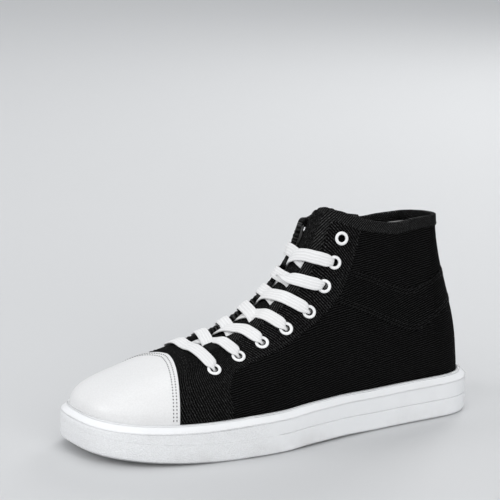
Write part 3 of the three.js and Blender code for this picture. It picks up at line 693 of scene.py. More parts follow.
def eyelet_seats():
    seats = {}
    for row, spot in enumerate(EYELET_ROWS):
        for side, word in ((1, "outer"), (-1, "inner")):
            drop = 0 if side > 0 else INNER_LOWER * row / (len(EYELET_ROWS) - 1)
            seat = seat_on(spot, side, drop)
            seats[side, row + 1] = dict(seat, name=f"eyelet_{word}_{row + 1}", layer="front_panel")
    for row, spot in enumerate(VENT_EYELETS):
        seats["vent", row + 1] = dict(seat_on(spot, -1), name=f"vent_eyelet_{row + 1}", layer="canvas")
    return seats


SEATS = eyelet_seats()
GRID_STEP = 1.8
ROWS_UP = 104
ROWS_DOWN = 9
stations = Stations(GRID_STEP)


def upper_sheet():
    """The whole last as one sheet, with every seam's field on its points."""
    sides = [even_rows(stations.section(side, np.linspace(0, 1, 500)), ROWS_UP) for side in (1, -1)]
    grid = np.concatenate([sides[0], sides[1][-2:0:-1]])
    foot = grid[:, :1]
    depth = (lip_up(place(foot)[0]) - floor_up(place(foot)[0]))[..., None]
    share = np.linspace(1, 0, ROWS_DOWN, endpoint=False)[None, :, None]
    grid = np.concatenate([foot - depth * share * np.array([0, 0, 1.0]), grid], 1)
    rise = run_along(grid)
    rise -= rise[:, ROWS_DOWN : ROWS_DOWN + 1]
    walk = run_along(grid[:, ROWS_DOWN])
    half = len(sides[0])
    walk[half:] = 2 * walk[half - 1] - walk[half:]
    sheet = grid_sheet(grid, {"flat_u": walk[:, None], "flat_v": rise})
    along, across, up = place(sheet.points)
    rough_rim = np.minimum(collar_line(along, across) - up, throat_field(along, across))
    sheet.values |= {
        "rim": true_distance(sheet, rough_rim),
        "front": side_field(sheet, FRONT_SEAM),
        "band_top": side_field(sheet, BAND_TOP),
        "band_bottom": side_field(sheet, BAND_BOTTOM),
        "cap": cap_field(along, across),
        "along": along,
        "over_lip": up - lip_up(along),
        "over_floor": up - floor_up(along),
        "back": np.where(along < HEEL_CENTRE, np.abs(across - centre_line(along)), HEEL_CENTRE),
        "hole": hole_field(sheet.points),
    }
    return sheet


def hole_field(points):
    """Above 0 outside the eyelets' holes."""
    nearest = np.full(len(points), SOLE_LENGTH)
    for seat in SEATS.values():
        away = points - seat["point"]
        depth = away @ seat["normal"]
        gap = np.linalg.norm(away - depth[:, None] * seat["normal"], axis=1)
        near = np.abs(depth) <= EYELET_RADIUS
        nearest = np.where(near, np.minimum(nearest, gap), nearest)
    return nearest - EYELET_BORE - HOLE_EASE


def leaned(points):
    """The tongue's free top leans back."""
    moved = points.copy()
    moved[..., 1] += TONGUE_LEAN * smooth(points[..., 2], 0.75 * TONGUE_TOP, TONGUE_TOP)
    return moved


def rim_faces(loops):
    """Triangles that join every loop of rim edges to the next one."""
    faces = []
    for near, far in zip(loops, loops[1:]):
        (a, b), (d, c) = near.T, far.T
        faces += [np.stack([b, a, d], -1), np.stack([b, d, c], -1)]
    return faces


def shell(sheet, outside, inside, bulge, steps=4):
    """A sheet with thickness and rounded rims: points, faces and flat map. The inside may vary by point."""
    points, count = sheet.points, len(sheet.points)
    inside = np.broadcast_to(inside, count)
    rim = sheet.rim()
    normal = normals_at(points)
    outward = np.zeros_like(points)
    edge = np.cross(points[rim[:, 1]] - points[rim[:, 0]], normal[rim[:, 0]])
    for end in rim.T:
        np.add.at(outward, end, edge)
    outward = unit(outward)
    flat = sheet.flat_map()
    on_rim, index = np.unique(rim, return_inverse=True)
    all_points, all_flat = [skin(points, outside), skin(points, inside)], [flat, flat]
    loops = [rim]
    for k in range(1, steps):
        turn = math.pi * k / steps
        offset = mix(inside[on_rim], outside, 0.5 + 0.5 * math.cos(turn))
        loops.append(index.reshape(-1, 2) + 2 * count + (k - 1) * len(on_rim))
        all_points.append(skin(points[on_rim], offset) + outward[on_rim] * bulge * math.sin(turn))
        all_flat.append(flat[on_rim])
    faces = [sheet.faces, sheet.faces[:, ::-1] + count] + rim_faces([*loops, rim + count])
    return np.concatenate(all_points), np.concatenate(faces), np.concatenate(all_flat)


def shaped(mesh_parts, shape):
    return shape(mesh_parts[0]), mesh_parts[1], mesh_parts[2]


def joined(parts):
    """Several meshes as one: points, faces and flat map."""
    points, faces, flat = zip(*parts)
    starts = np.cumsum([0] + [len(p) for p in points])
    faces = [part + start for part, start in zip(faces, starts)]
    return np.concatenate(points), np.concatenate(faces), np.concatenate(flat)


def added(name, data):
    """A new object in the scene."""
    thing = bpy.data.objects.new(name, data)
    bpy.context.scene.collection.objects.link(thing)
    return thing


def make_piece(name, mesh_parts, finish, replaced=()):
    points, faces, flat = mesh_parts
    mesh = bpy.data.meshes.new(name)
    mesh.from_pydata((points * METRE).tolist(), [], faces.tolist())
    layer = mesh.uv_layers.new(name="flat")
    corners = np.empty(len(mesh.loops), np.int32)
    mesh.loops.foreach_get("vertex_index", corners)
    layer.data.foreach_set("uv", (flat[corners]).astype(np.float32).ravel())
    mesh.shade_smooth()
    mesh.materials.append(FINISH[finish])
    mesh.validate()
    piece = added(name, mesh)
    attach(piece, "root")
    if replaced:
        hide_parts(*replaced)


def swept(path, across, section, sizes):
    """A closed tube: a section of (across, thick) pairs, sized at each point of a path."""
    travel = unit(np.gradient(path, axis=0))
    across = unit(across - (across * travel).sum(1)[:, None] * travel)
    thick = np.cross(travel, across)
    x, y = (section[None, :, k] * sizes[:, None, k] for k in (0, 1))
    rings = path[:, None] + x[..., None] * across[:, None] + y[..., None] * thick[:, None]
    count, around = x.shape
    points = np.concatenate([rings.reshape(-1, 3), path[:1], path[-1:]])
    turn = np.arange(around)
    following = (turn + 1) % around
    last = (count - 1) * around
    near = np.stack([following, turn, np.full(around, len(points) - 2)], -1)
    far = np.stack([last + turn, last + following, np.full(around, len(points) - 1)], -1)
    run = run_along(path)
    flat = np.stack([np.repeat(run, around), x.ravel()], -1)
    flat = np.concatenate([flat, [[0, 0], [run[-1], 0]]])
    return points, np.concatenate([grid_faces(count, around, False, True), near, far]), flat


def rounded_section(around, flatness):
    """A unit section: a flat strip with rounded edges."""
    turn = np.linspace(0, 2 * math.pi, around, endpoint=False)
    spoke = np.stack([np.cos(turn), np.sin(turn)], -1)
    return np.sign(spoke) * np.abs(spoke) ** flatness / 2


# A stitch from end to end: share of its length, and its girth there
STITCH_SHARE = np.array([0, 0.06, 0.2, 0.5, 0.8, 0.94, 1.0])
STITCH_GIRTH = np.array([0.25, 0.6, 0.95, 1.0, 0.95, 0.6, 0.25])


def stitches(lines, height, length=2.5, gap=1.0, radius=0.3):
    """Small capsules of thread along lines on the upper."""
    section = rounded_section(7, 1.0)
    sizes = np.repeat(STITCH_GIRTH[:, None] * 2 * radius, 2, 1)
    arch = height + radius * (0.9 * np.sin(math.pi * STITCH_SHARE) - 0.5)
    parts = []
    for line in lines:
        run = run_along(line)
        for start in np.arange(gap, run[-1] - length, length + gap):
            spots = sampled(line, run, start + STITCH_SHARE * length)
            path = skin(spots, arch)
            across = np.cross(np.gradient(path, axis=0), normals_at(spots))
            parts.append(swept(path, across, section, sizes))
    return joined(parts)


def seam_lines(sheet, name, distances, keep):
    """Lines at distances from a seam, where the kept values allow."""
    lines = []
    for distance in distances:
        for points, values in contours(sheet, sheet.values[name] - distance):
            wanted = keep(values)
            run = np.split(np.arange(len(points)), np.flatnonzero(np.diff(wanted.astype(int))) + 1)
            lines += [points[part] for part in run if wanted[part[0]] and len(part) > 4]
    return lines


def turned(profile, seat, lift, around=40):
    """A ring turned round an eyelet's axis, from (radius, height) pairs."""
    axis = seat["normal"]
    first = unit(np.cross(axis, np.array([0.0, 1.0, 0.3])))
    second = np.cross(axis, first)
    turn = np.linspace(0, 2 * math.pi, around, endpoint=False)
    spoke = np.cos(turn)[:, None] * first + np.sin(turn)[:, None] * second
    radius, height = profile[:, 0], profile[:, 1] + lift
    rings = seat["point"] + spoke[:, None] * radius[None, :, None] + axis * height[None, :, None]
    faces = grid_faces(around, len(profile), True, True)[:, ::-1]
    flat = np.stack([np.repeat(turn * EYELET_RADIUS, len(profile)), np.tile(height, around)], -1)
    return rings.reshape(-1, 3), faces, flat


# The ring of an eyelet, as pairs of radius and height over the cloth
EYELET_CORNERS = [
    (2.6, -1.0), (2.55, -0.5), (2.55, 0.1), (2.75, 0.5), (3.3, 0.78), (4.0, 0.68), (4.5, 0.36),
    (4.64, 0.05), (4.4, -0.12), (3.6, -0.15), (2.95, -0.3), (2.85, -0.8), (2.75, -1.1), (2.6, -1.0),
]
EYELET_PROFILE = rounded_line(np.array(EYELET_CORNERS), 3)[:-1]

# Height of a lace over the canvas while it crosses the gap. reach: places across the gap, in half gaps.
LACE_REACH = [-1.5, -1.05, -0.6, 0.0, 0.5, 0.85, 1.1, 1.45, 1.8]
LACE_UNDER = [-2.95, -2.9, -2.6, -2.2, -1.6, -0.2, 1.6, 2.6, 2.2]
LACE_OVER = [-2.95, -2.6, -1.4, -0.5, 0.1, 0.9, 1.9, 2.7, 2.2]
LACE_BAR = [2.0, 1.9, 0.9, 0.6, 0.8, 1.3, 1.9, 2.1, 2.0]

# Lace, wider and thicker than the plain strands of the CAD
LACE_WIDTH = 8.7
LACE_THICKNESS = 1.7
LACE_BOW = 3.2
LACE_CLIMB = np.array([0.0, 0.8, 0.6])
HOLE_WIDTH = 4.6
HOLE_THICKNESS = 1.9
HOLE_SHIFT = 0.95
HOLE_DEPTHS = np.array([0.9, -0.3, -1.3, -2.3])
FREE_AFTER_START = 1.2
FREE_BEFORE_END = 2.8
TWIST_SPAN = (0.3, 0.66)


def lace_crossing(start, end, from_side, heights, twist=0.0, bow=LACE_BOW):
    """Points, across directions and sizes of a lace between two eyelets."""
    share = np.linspace(0, 1, 60)
    chord = unit(end["point"] - start["point"])
    climb = unit(LACE_CLIMB - chord * (chord @ LACE_CLIMB))
    lift = bow * np.sin(math.pi * share**1.5)
    spots = on_last(mix(start["point"], end["point"], share[:, None]) + lift[:, None] * climb)
    normal = normals_at(spots)
    along, across, _ = place(spots)
    off = across - centre_line(along)
    half = np.abs(off) - throat_field(along, across)
    height = np.interp(-from_side * off / np.maximum(half, 1), LACE_REACH, heights)
    side = np.cross(normal, unit(np.gradient(spots, axis=0)))
    turn = math.pi * smooth(share, *TWIST_SPAN) * twist
    side = side * np.cos(turn)[:, None] + normal * np.sin(turn)[:, None]
    to_start, to_end = (np.linalg.norm(spots - seat["point"], axis=1) for seat in (start, end))
    keep = (to_end > FREE_BEFORE_END) & (to_start > FREE_AFTER_START)
    open_width = smooth(np.minimum(to_end, to_start), 0.5, 5.0)
    waist = 1 - 0.35 * abs(twist) * np.exp(-(((share - np.mean(TWIST_SPAN)) / 0.1) ** 2))
    width = mix(HOLE_WIDTH, LACE_WIDTH, open_width) * waist
    thickness = mix(HOLE_THICKNESS, LACE_THICKNESS, open_width)
    return (spots + normal * height[:, None])[keep], side[keep], np.stack([width, thickness], -1)[keep]


def through_hole(seat, side, came_from):
    """The lace dips through an eyelet, on the side that it came from."""
    back = unit(came_from - seat["point"])
    points = seat["point"] + back * HOLE_SHIFT + seat["normal"] * HOLE_DEPTHS[:, None]
    count = len(HOLE_DEPTHS)
    return points, np.repeat(side[None], count, 0), np.repeat([[HOLE_WIDTH, HOLE_THICKNESS]], count, 0)


OVER_FROM_OUTER = {1: True, 2: False, 3: True, 4: False, 5: False, 6: False}
TWISTED_CROSSING = 5


def lace_half(first_side):
    """Half the lace: from the bar's middle through the eyelets to its hidden end."""
    outer_bar = lace_crossing(SEATS[-first_side, 1], SEATS[first_side, 1], -first_side, LACE_BAR, bow=0)
    count = len(outer_bar[0]) // 2
    runs = [tuple(part[count - 1 :] for part in outer_bar)]
    side = first_side
    for row in range(1, LACED_ROWS):
        seat, following = SEATS[side, row], SEATS[-side, row + 1]
        over = OVER_FROM_OUTER[row] == (side > 0)
        twist = 1.0 if row == TWISTED_CROSSING and side < 0 else 0.0
        crossing = lace_crossing(seat, following, side, LACE_OVER if over else LACE_UNDER, twist)
        middle = unit(runs[-1][1][-1] + crossing[1][0])
        runs += [through_hole(seat, middle, runs[-1][0][-4]), crossing]
        side = -side
    runs.append(through_hole(SEATS[side, LACED_ROWS], runs[-1][1][-1], runs[-1][0][-4]))
    path, across, sizes = (np.concatenate([run[k] for run in runs]) for k in range(3))
    return smooth_lace(path, across, sizes)


def smooth_lace(path, across, sizes, spacing=0.7, spread=1.5):
    """The lace's rows at an even spacing, with its corners softened."""
    run = run_along(path)
    table = sampled(np.concatenate([path, across, sizes], 1), run, np.arange(0, run[-1], spacing))
    reach = int(3 * spread / spacing)
    kernel = np.exp(-0.5 * (np.arange(-reach, reach + 1) * spacing / spread) ** 2)
    kernel /= kernel.sum()
    padded = np.pad(table, ((reach, reach), (0, 0)), mode="edge")
    padded[:reach, :3] += np.arange(-reach, 0)[:, None] * (table[1, :3] - table[0, :3])
    padded[-reach:, :3] += np.arange(1, reach + 1)[:, None] * (table[-1, :3] - table[-2, :3])
    table = np.stack([np.convolve(column, kernel, mode="valid") for column in padded.T], -1)
    return table[:, :3], table[:, 3:6], table[:, 6:8]


class Graph:
    """Short words for building shader nodes."""

    def __init__(self, tree):
        self.tree = tree

    def feed(self, socket, value):
        """Give a socket its value, or a link to where the value comes from."""
        if isinstance(value, bpy.types.NodeSocket):
            self.tree.links.new(value, socket)
        elif value is not None:
            socket.default_value = value

    def node(self, kind, settings=None, **inputs):
        """A new node. Its inputs go by their names, or in0, in1 and so on by their places."""
        node = self.tree.nodes.new("ShaderNode" + kind)
        for key, value in (settings or {}).items():
            setattr(node, key, value)
        for key, value in inputs.items():
            by_place = key.startswith("in") and key[2:].isdigit()
            self.feed(node.inputs[int(key[2:]) if by_place else key.replace("_", " ")], value)
        return node

    def math(self, operation, *values):
        inputs = {f"in{k}": value for k, value in enumerate(values)}
        return self.node("Math", {"operation": operation}, **inputs).outputs[0]

    def times(self, first, second, plus=0.0):
        return self.math("MULTIPLY_ADD", first, second, plus)

    def wave(self, value):
        """A sine from 0 to 1 that repeats with each 1 of the value."""
        return self.times(self.math("SINE", self.times(value, 2 * math.pi)), 0.5, 0.5)

    def spread(self, value, low, high, to_low=0.0, to_high=1.0):
        ends = {"From_Min": low, "From_Max": high, "To_Min": to_low, "To_Max": to_high}
        return self.node("MapRange", {"interpolation_type": "SMOOTHSTEP"}, Value=value, **ends).outputs[0]

    def blend(self, share, first, second):
        return self.node("Mix", {"data_type": "RGBA"}, in0=share, in6=first, in7=second).outputs[2]

    def noise(self, vector, scale, detail, roughness):
        inputs = {"Vector": vector, "Scale": scale, "Detail": detail, "Roughness": roughness}
        return self.node("TexNoise", None, **inputs).outputs[0]

    def spot(self):
        return self.node("TexCoord").outputs["Object"]

    def placed(self, tree, **inputs):
        return self.node("Group", {"node_tree": tree}, **inputs).outputs


def new_group(name, inputs, outputs):
    """A shader node group: its graph, and the sockets that come in and go out."""
    tree = bpy.data.node_groups.new(name, "ShaderNodeTree")
    for key, value in inputs.items():
        socket = tree.interface.new_socket(name=key, in_out="INPUT", socket_type="NodeSocketFloat")
        socket.default_value = value
    for key in outputs:
        tree.interface.new_socket(name=key, in_out="OUTPUT", socket_type="NodeSocketFloat")
    return Graph(tree), tree.nodes.new("NodeGroupInput").outputs, tree.nodes.new("NodeGroupOutput").inputs


def rib_weave_group():
    """Twill or rib cloth on the flat map, in millimetres."""
    inputs = {"Angle": 0.0, "Rib pitch": 1.5, "Yarn pitch": 0.6, "Yarn share": 0.4}
    graph, given, result = new_group("Rib weave", inputs, ["Height", "Shade", "Fleck"])
    flat = graph.node("UVMap", {"uv_map": "flat"}).outputs[0]
    angled = graph.node("VectorRotate", {"rotation_type": "Z_AXIS"}, Vector=flat, Angle=given["Angle"])
    parts = graph.node("SeparateXYZ", None, Vector=angled.outputs[0]).outputs
    drift = graph.times(graph.noise(flat, 0.11, 3.0, 0.5), 1.6, -0.8)
    ribs = graph.math("DIVIDE", graph.math("ADD", parts[1], drift), given["Rib pitch"])
    rib = graph.wave(ribs)
    yarns = graph.math("DIVIDE", parts[0], given["Yarn pitch"])
    yarn = graph.wave(graph.times(graph.math("FLOOR", ribs), 0.37, yarns))
    height = graph.times(yarn, given["Yarn share"], rib)
    height = graph.times(graph.noise(flat, 2.2, 3.0, 0.7), 0.5, height)
    fibre = graph.spread(graph.noise(flat, 1.3, 2.0, 0.7), 0.52, 0.62)
    graph.feed(result["Height"], height)
    # Shade is painted light: high on the rib crests as a painted highlight, low in the grooves as painted
    # shade.
    graph.feed(result["Shade"], graph.spread(height, 1.0, 1.8))
    graph.feed(result["Fleck"], graph.times(fibre, graph.spread(rib, 0.2, 0.8)))
    return graph.tree


def dust_group():
    """Soft uneven dulling, as from handling."""
    graph, given, result = new_group("Handling dust", {"Scale": 30.0, "Low": 0.45, "High": 0.75}, ["Mask"])
    cloud = graph.noise(graph.spot(), given["Scale"], 6.0, 0.6)
    graph.feed(result["Mask"], graph.spread(cloud, given["Low"], given["High"]))
    return graph.tree


def grain_group():
    """Fine pebbles and wrinkles of coated leather or moulded rubber."""
    graph, given, result = new_group("Fine grain", {"Scale": 900.0, "Wrinkle": 0.3}, ["Height", "Shade"])
    spot = graph.spot()
    cell = graph.node("TexVoronoi", {"feature": "SMOOTH_F1"}, Vector=spot, Scale=given["Scale"]).outputs[0]
    graph.feed(result["Height"], graph.times(graph.noise(spot, 160.0, 5.0, 0.6), given["Wrinkle"], cell))
    graph.feed(result["Shade"], graph.spread(cell, 0.1, 0.7))
    return graph.tree


RIB_WEAVE = rib_weave_group()
HANDLING_DUST = dust_group()
FINE_GRAIN = grain_group()


def grey(value, warmth=0.0):
    return (value * (1 + warmth), value, value * (1 - warmth), 1.0)


# The second black is the painted highlight on the canvas's rib crests.
BLACK, BLACK_CREST_HIGHLIGHT, BLACK_DUST = grey(0.0004), grey(0.026), grey(0.003, 0.03)
FLECK = grey(0.15)
WHITE, WHITE_SHADE, WHITE_MARK = grey(0.77), grey(0.62), grey(0.5, 0.06)


def new_material(name, **shader_values):
    material = bpy.data.materials.new(name)
    material.use_nodes = True
    shader = material.node_tree.nodes["Principled BSDF"]
    for key, value in shader_values.items():
        shader.inputs[key.replace("_", " ")].default_value = value
    return material, Graph(material.node_tree), shader


def dressed(graph, shader, colour, roughness, height, depth, strength=1.0):
    """Lead a finish's colour, roughness and relief to its shader."""
    bump = graph.node("Bump", None, Height=height, Strength=strength, Distance=depth * METRE)
    for key, value in (("Base Color", colour), ("Roughness", roughness), ("Normal", bump.outputs[0])):
        graph.feed(shader.inputs[key], value)


def cloth(
    name, dark=BLACK, light=BLACK_CREST_HIGHLIGHT, dusty=BLACK_DUST, angle=0.0, rib=1.5, yarn=0.55, yarn_share=0.5,
    depth=0.45, sheen=0.0, roughness=0.95, shine=0.03, fleck=0.12,
):
    """A woven finish: colour runs from painted shade in the rib grooves to a painted highlight on the crests,
    with lint and handling on top.
    """
    values = {"Sheen_Weight": sheen, "Sheen_Roughness": 0.45, "Specular_IOR_Level": shine}
    material, graph, shader = new_material(name, **values)
    weave = graph.placed(RIB_WEAVE, Angle=angle, Rib_pitch=rib, Yarn_pitch=yarn, Yarn_share=yarn_share)
    dust = graph.placed(HANDLING_DUST, Scale=38.0, Low=0.42, High=0.8)
    # Painted rib light: the dark colour is painted shade in the grooves, the light colour a painted highlight
    # on the crests.
    colour = graph.blend(weave["Shade"], dark, light)
    colour = graph.blend(graph.times(dust["Mask"], 0.5), colour, dusty)
    colour = graph.blend(graph.times(weave["Fleck"], fleck), colour, FLECK)
    rough = graph.times(weave["Shade"], -0.12, roughness)
    dressed(graph, shader, colour, rough, weave["Height"], depth)
    return material


def coated(name, base, shade, scale, wrinkle, depth, roughness, mark_share, mark=WHITE_MARK, coat=0.0):
    """A grained finish, for leather, enamel and rubber, with faint marks."""
    values = {"Coat_Weight": coat, "Coat_Roughness": 0.2, "Specular_IOR_Level": 0.45}
    material, graph, shader = new_material(name, **values)
    grain = graph.placed(FINE_GRAIN, Scale=scale, Wrinkle=wrinkle)
    dust = graph.placed(HANDLING_DUST, Scale=24.0, Low=0.5, High=0.85)
    colour = graph.blend(graph.times(grain["Shade"], 0.25), base, shade)
    colour = graph.blend(graph.times(dust["Mask"], mark_share), colour, mark)
    dressed(graph, shader, colour, graph.times(dust["Mask"], 0.15, roughness), grain["Height"], depth, 0.8)
    return material


def rubber_wall():
    """White sole rubber: smooth behind, finely stippled round the forefoot with painted shade in the
    stipple's hollows, dusty by the floor.
    """
    material, graph, shader = new_material("white cup sole rubber", Specular_IOR_Level=0.4)
    grain = graph.placed(FINE_GRAIN, Scale=1300.0, Wrinkle=0.2)
    dust = graph.placed(HANDLING_DUST, Scale=30.0, Low=0.45, High=0.8)
    parts = graph.node("SeparateXYZ", None, Vector=graph.spot()).outputs
    groove_end = (SOLE_LENGTH / 2 - GROOVE_END) * METRE
    ahead = graph.spread(parts[1], groove_end + 4 * METRE, groove_end - 12 * METRE)
    below_lip = graph.spread(parts[2], 24 * METRE, 22 * METRE)
    stippled = graph.times(ahead, below_lip)
    near_floor = graph.spread(parts[2], 12 * METRE, 0.0, 0.0, 0.5)
    marks = graph.times(graph.math("ADD", near_floor, 0.15), dust["Mask"])
    # Painted shade: the stipple's hollows are coloured darker.
    painted_pit_shade = graph.times(stippled, graph.math("SUBTRACT", 1.0, grain["Shade"]))
    colour = graph.blend(graph.times(painted_pit_shade, 0.3), grey(0.84, -0.01), grey(0.6))
    colour = graph.blend(marks, colour, grey(0.56, 0.02))
    height = graph.times(grain["Height"], graph.times(stippled, 0.9, 0.08))
    dressed(graph, shader, colour, graph.times(stippled, 0.2, 0.42), height, 0.4)
    return material


PALE = {"roughness": 0.9, "shine": 0.2, "fleck": 0.0}
THREAD = dict(PALE, angle=0.7, rib=0.4, yarn=0.4, yarn_share=0.6)
LACE_WEAVE = dict(PALE, rib=2.0, yarn=0.75, depth=0.14, sheen=0.05, roughness=0.8)
LINING_WEAVE = dict(PALE, rib=0.7, yarn=0.7, yarn_share=1.0, depth=0.12, sheen=0.1)
INSOLE_WEAVE = dict(LINING_WEAVE, angle=0.4, rib=0.9, yarn=0.8)
FRONT_WEAVE = {"angle": -1.0, "rib": 1.6, "yarn": 0.6, "depth": 0.5, "shine": 0.04, "fleck": 0.45}
TONGUE_WEAVE = {"rib": 1.3, "yarn": 0.6, "depth": 0.35, "shine": 0.05, "fleck": 0.4}
TAPE_WEAVE = {"angle": 0.75, "rib": 1.3, "yarn": 0.7, "yarn_share": 0.8, "depth": 0.4, "fleck": 0.5}
DARK_THREAD = dict(THREAD, depth=0.08, sheen=0.05, roughness=0.7, shine=0.15)
WHITE_THREAD = dict(THREAD, depth=0.08, sheen=0.1, roughness=0.6)
LEATHER_COAT = {"scale": 1100.0, "wrinkle": 0.5, "depth": 0.12, "roughness": 0.38, "mark_share": 0.12}
ENAMEL_COAT = {"scale": 300.0, "wrinkle": 0.2, "depth": 0.02, "roughness": 0.22, "mark_share": 0.1}
TREAD_COAT = {"scale": 900.0, "wrinkle": 0.5, "depth": 0.2, "roughness": 0.55, "mark_share": 0.35}
# In each cloth finish the first two colours are the painted shade of the rib grooves and the painted
# highlight of the rib crests.
FINISH = {
    "quarter": cloth("black ribbed canvas, quarters", angle=0.12),
    "front": cloth("black ribbed canvas, front panel", **FRONT_WEAVE),
    "band": cloth("black ribbed canvas, ankle band", angle=0.25),
    "tongue": cloth("black canvas, tongue", **TONGUE_WEAVE),
    "binding": cloth("black edge tape", light=grey(0.04), roughness=0.9, shine=0.06, **TAPE_WEAVE),
    "lining": cloth("white cotton lining", grey(0.55), grey(0.75), grey(0.5, 0.03), **LINING_WEAVE),
    "insole": cloth("white insole cloth", grey(0.5), grey(0.72), grey(0.42, 0.03), **INSOLE_WEAVE),
    "lace": cloth("white woven lace", grey(0.74), grey(0.88), grey(0.72, 0.02), **LACE_WEAVE),
    "black_thread": cloth("black thread", grey(0.002), grey(0.012), BLACK_DUST, **DARK_THREAD),
    "white_thread": cloth("white thread", grey(0.6), grey(0.85), grey(0.6), **WHITE_THREAD),
    "needle_hole": cloth("shadowed needle holes", grey(0.1), grey(0.2), grey(0.2), depth=0.02, **THREAD),
    "leather": coated("smooth white leather", WHITE, WHITE_SHADE, **LEATHER_COAT),
    "enamel": coated("white enamelled metal", grey(0.86), grey(0.8), coat=0.4, **ENAMEL_COAT),
    "tread": coated("white tread rubber", grey(0.78), grey(0.6), mark=grey(0.4, 0.05), **TREAD_COAT),
    "rubber": rubber_wall(),
}


def build_upper(sheet):
    value = sheet.values
    rim, hole, front, cap, over_lip = (value[k] for k in ("rim", "hole", "front", "cap", "over_lip"))
    inside_rim = rim - CUT_EDGE

    def lay(name, layer, fields, finish, bulge, steps=4, replaced=()):
        part = sheet.cut(np.minimum.reduce(fields))
        make_piece(name, shell(part, *LAYERS[layer], bulge, steps), finish, replaced)

    canvas = [inside_rim, hole, over_lip + CANVAS_LAP, CANVAS_UNDER_CAP - cap]
    lay("canvas_quarters", "canvas", canvas, "quarter", 0.2, replaced=["upper"])
    lining = [rim - LINING_BELOW_RIM, hole - LINING_HOLE, value["over_floor"] - LINING_OVER_FLOOR]
    lay("inner_lining", "lining", lining, "lining", 0.1)
    front_panel = [inside_rim - CUT_EDGE, hole, over_lip + SEAM_LAP, front, PANEL_UNDER_CAP - cap]
    lay("front_panel", "front_panel", front_panel, "front", 0.3)
    band = [value["band_bottom"], -value["band_top"], BAND_UNDER_PANEL - front, inside_rim]
    lay("ankle_band", "ankle_band", band, "band", 0.25)

    tape = [rim, BINDING_WIDTH - rim, BINDING_FRONT - value["along"], hole + CUT_EDGE]
    strip = sheet.cut(np.minimum.reduce(tape))
    tucked = smooth(strip.values["rim"], BINDING_INSIDE, BINDING_INSIDE + BINDING_STEP)
    outside, inside = LAYERS["binding"]
    inside = mix(inside, LAYERS["canvas"][1] + CUT_EDGE, tucked)
    make_piece("edge_tape", shell(strip, outside, inside, bulge=0.4, steps=6), "binding")

    behind_front = 100 - front * 1000
    inner_band = [rim - INNER_BAND[0], INNER_BAND[1] - rim, behind_front]
    lay("inner_collar_band", "inner_band", inner_band, "tongue", 0.15)
    toe_cap = [cap, over_lip + SEAM_LAP]
    lay("toe_cap_leather", "toe_cap", toe_cap, "leather", 0.45, 6, ["toe_cap"])


def build_stitching(sheet):
    panel, band, tape, cap = (LAYERS[k][0] for k in ("front_panel", "ankle_band", "binding", "toe_cap"))

    def below_tape(v):
        return (v["rim"] > BINDING_WIDTH + 0.6) & (v["over_lip"] > 0.5)

    def on_band(v):
        return below_tape(v) & (v["front"] < -0.5)

    def on_tape(v):
        return (v["hole"] > 2.6) & (v["along"] < BINDING_FRONT - 1)

    front = seam_lines(sheet, "front", FRONT_STITCHES, lambda v: below_tape(v) & (v["cap"] < -1))
    edges = seam_lines(sheet, "band_top", BAND_TOP_STITCHES, on_band)
    edges += seam_lines(sheet, "band_bottom", BAND_BOTTOM_STITCHES, on_band)
    rim = seam_lines(sheet, "rim", BINDING_STITCHES, on_tape)
    back = seam_lines(sheet, "back", BACK_STITCHES, lambda v: below_tape(v) & (v["along"] < HEEL_CENTRE))
    vamp = seam_lines(sheet, "cap", VAMP_STITCHES, below_tape)
    rows = [(front, panel), (edges, band), (rim, tape), (back, band), (vamp, panel)]
    thread = joined([stitches(lines, height) for lines, height in rows])
    make_piece("black_stitching", thread, "black_thread")

    lines = seam_lines(sheet, "cap", CAP_STITCHES, lambda v: v["over_lip"] > 0.5)
    thread = stitches(lines, cap - 0.1, length=1.5, gap=0.7, radius=0.24)
    make_piece("toe_cap_stitching", thread, "white_thread")
    # Painted shadow: small dark capsules between the white stitches stand in for the shade inside the needle
    # holes.
    lines = [line[1:] for line in lines]
    holes = stitches(lines, cap - 0.08, length=0.75, gap=1.45, radius=0.42)
    make_piece("toe_cap_needle_holes", holes, "needle_hole")


def build_tongue(sheet):
    along, across, up = place(sheet.points)
    off = across - centre_line(THROAT_BACK * SOLE_LENGTH)
    half = np.interp(along / SOLE_LENGTH, *zip(*TONGUE_HALVES))
    beside = half - np.abs(across - centre_line(along))
    top = TONGUE_TOP - TONGUE_ROUNDING * ((off - TONGUE_PEAK) / TONGUE_HALF) ** 2 - up
    ends = [beside, top, THROAT_FRONT + TONGUE_SEWN - along, along - TONGUE_BACK * SOLE_LENGTH]
    edge = true_distance(sheet, np.minimum.reduce(ends))
    sheet.values["tongue"] = edge
    outside = -WALL - TONGUE_GAP
    inside = outside - TONGUE_THICKNESS
    body = shell(sheet.cut(edge - 0.2), outside, inside + CUT_EDGE, bulge=0.4)
    make_piece("tongue_body", shaped(body, leaned), "tongue", ["tongue"])
    taped = np.minimum.reduce([edge, TONGUE_TAPE - edge, up - 0.6 * COLLAR_PEAK])
    tape = shell(sheet.cut(taped), outside + 0.4, inside - 0.1, bulge=0.5, steps=6)
    make_piece("tongue_tape", shaped(tape, leaned), "binding")
    lines = seam_lines(sheet, "tongue", TONGUE_STITCHES, lambda v: v["over_lip"] > TONGUE_SEEN)
    rows = stitches(lines, outside + 0.42)
    make_piece("tongue_stitching", shaped(rows, leaned), "black_thread")


# Corners of the sole's side wall, from the tread up: inset, base of the height, height, corner radius
SOLE_CORNERS = [
    (3.2, "floor", 0.0, 0.0),
    (1.6, "floor", 0.0, 0.9),
    (0.15, "floor", 1.5, 1.2),
    (0.0, "floor", 12.62, 0.12),
    (0.75, "floor", 12.85, 0.1),
    (0.75, "floor", 13.2, 0.1),
    (0.0, "floor", 13.42, 0.12),
    (0.0, "lip", -5.5, 0.15),
    (-0.05, "lip", -4.9, 0.3),
    (0.5, "lip", -4.55, 0.25),
    (3.5, "lip", -1.5, 0.3),
    (3.75, "lip", -0.35, 0.3),
    (4.3, "lip", 0.0, 0.35),
    (5.7, "lip", -0.1, 0.4),
    (6.35, "lip", -1.6, 0.4),
    (6.4, "lip", -6.0, 0.0),
]


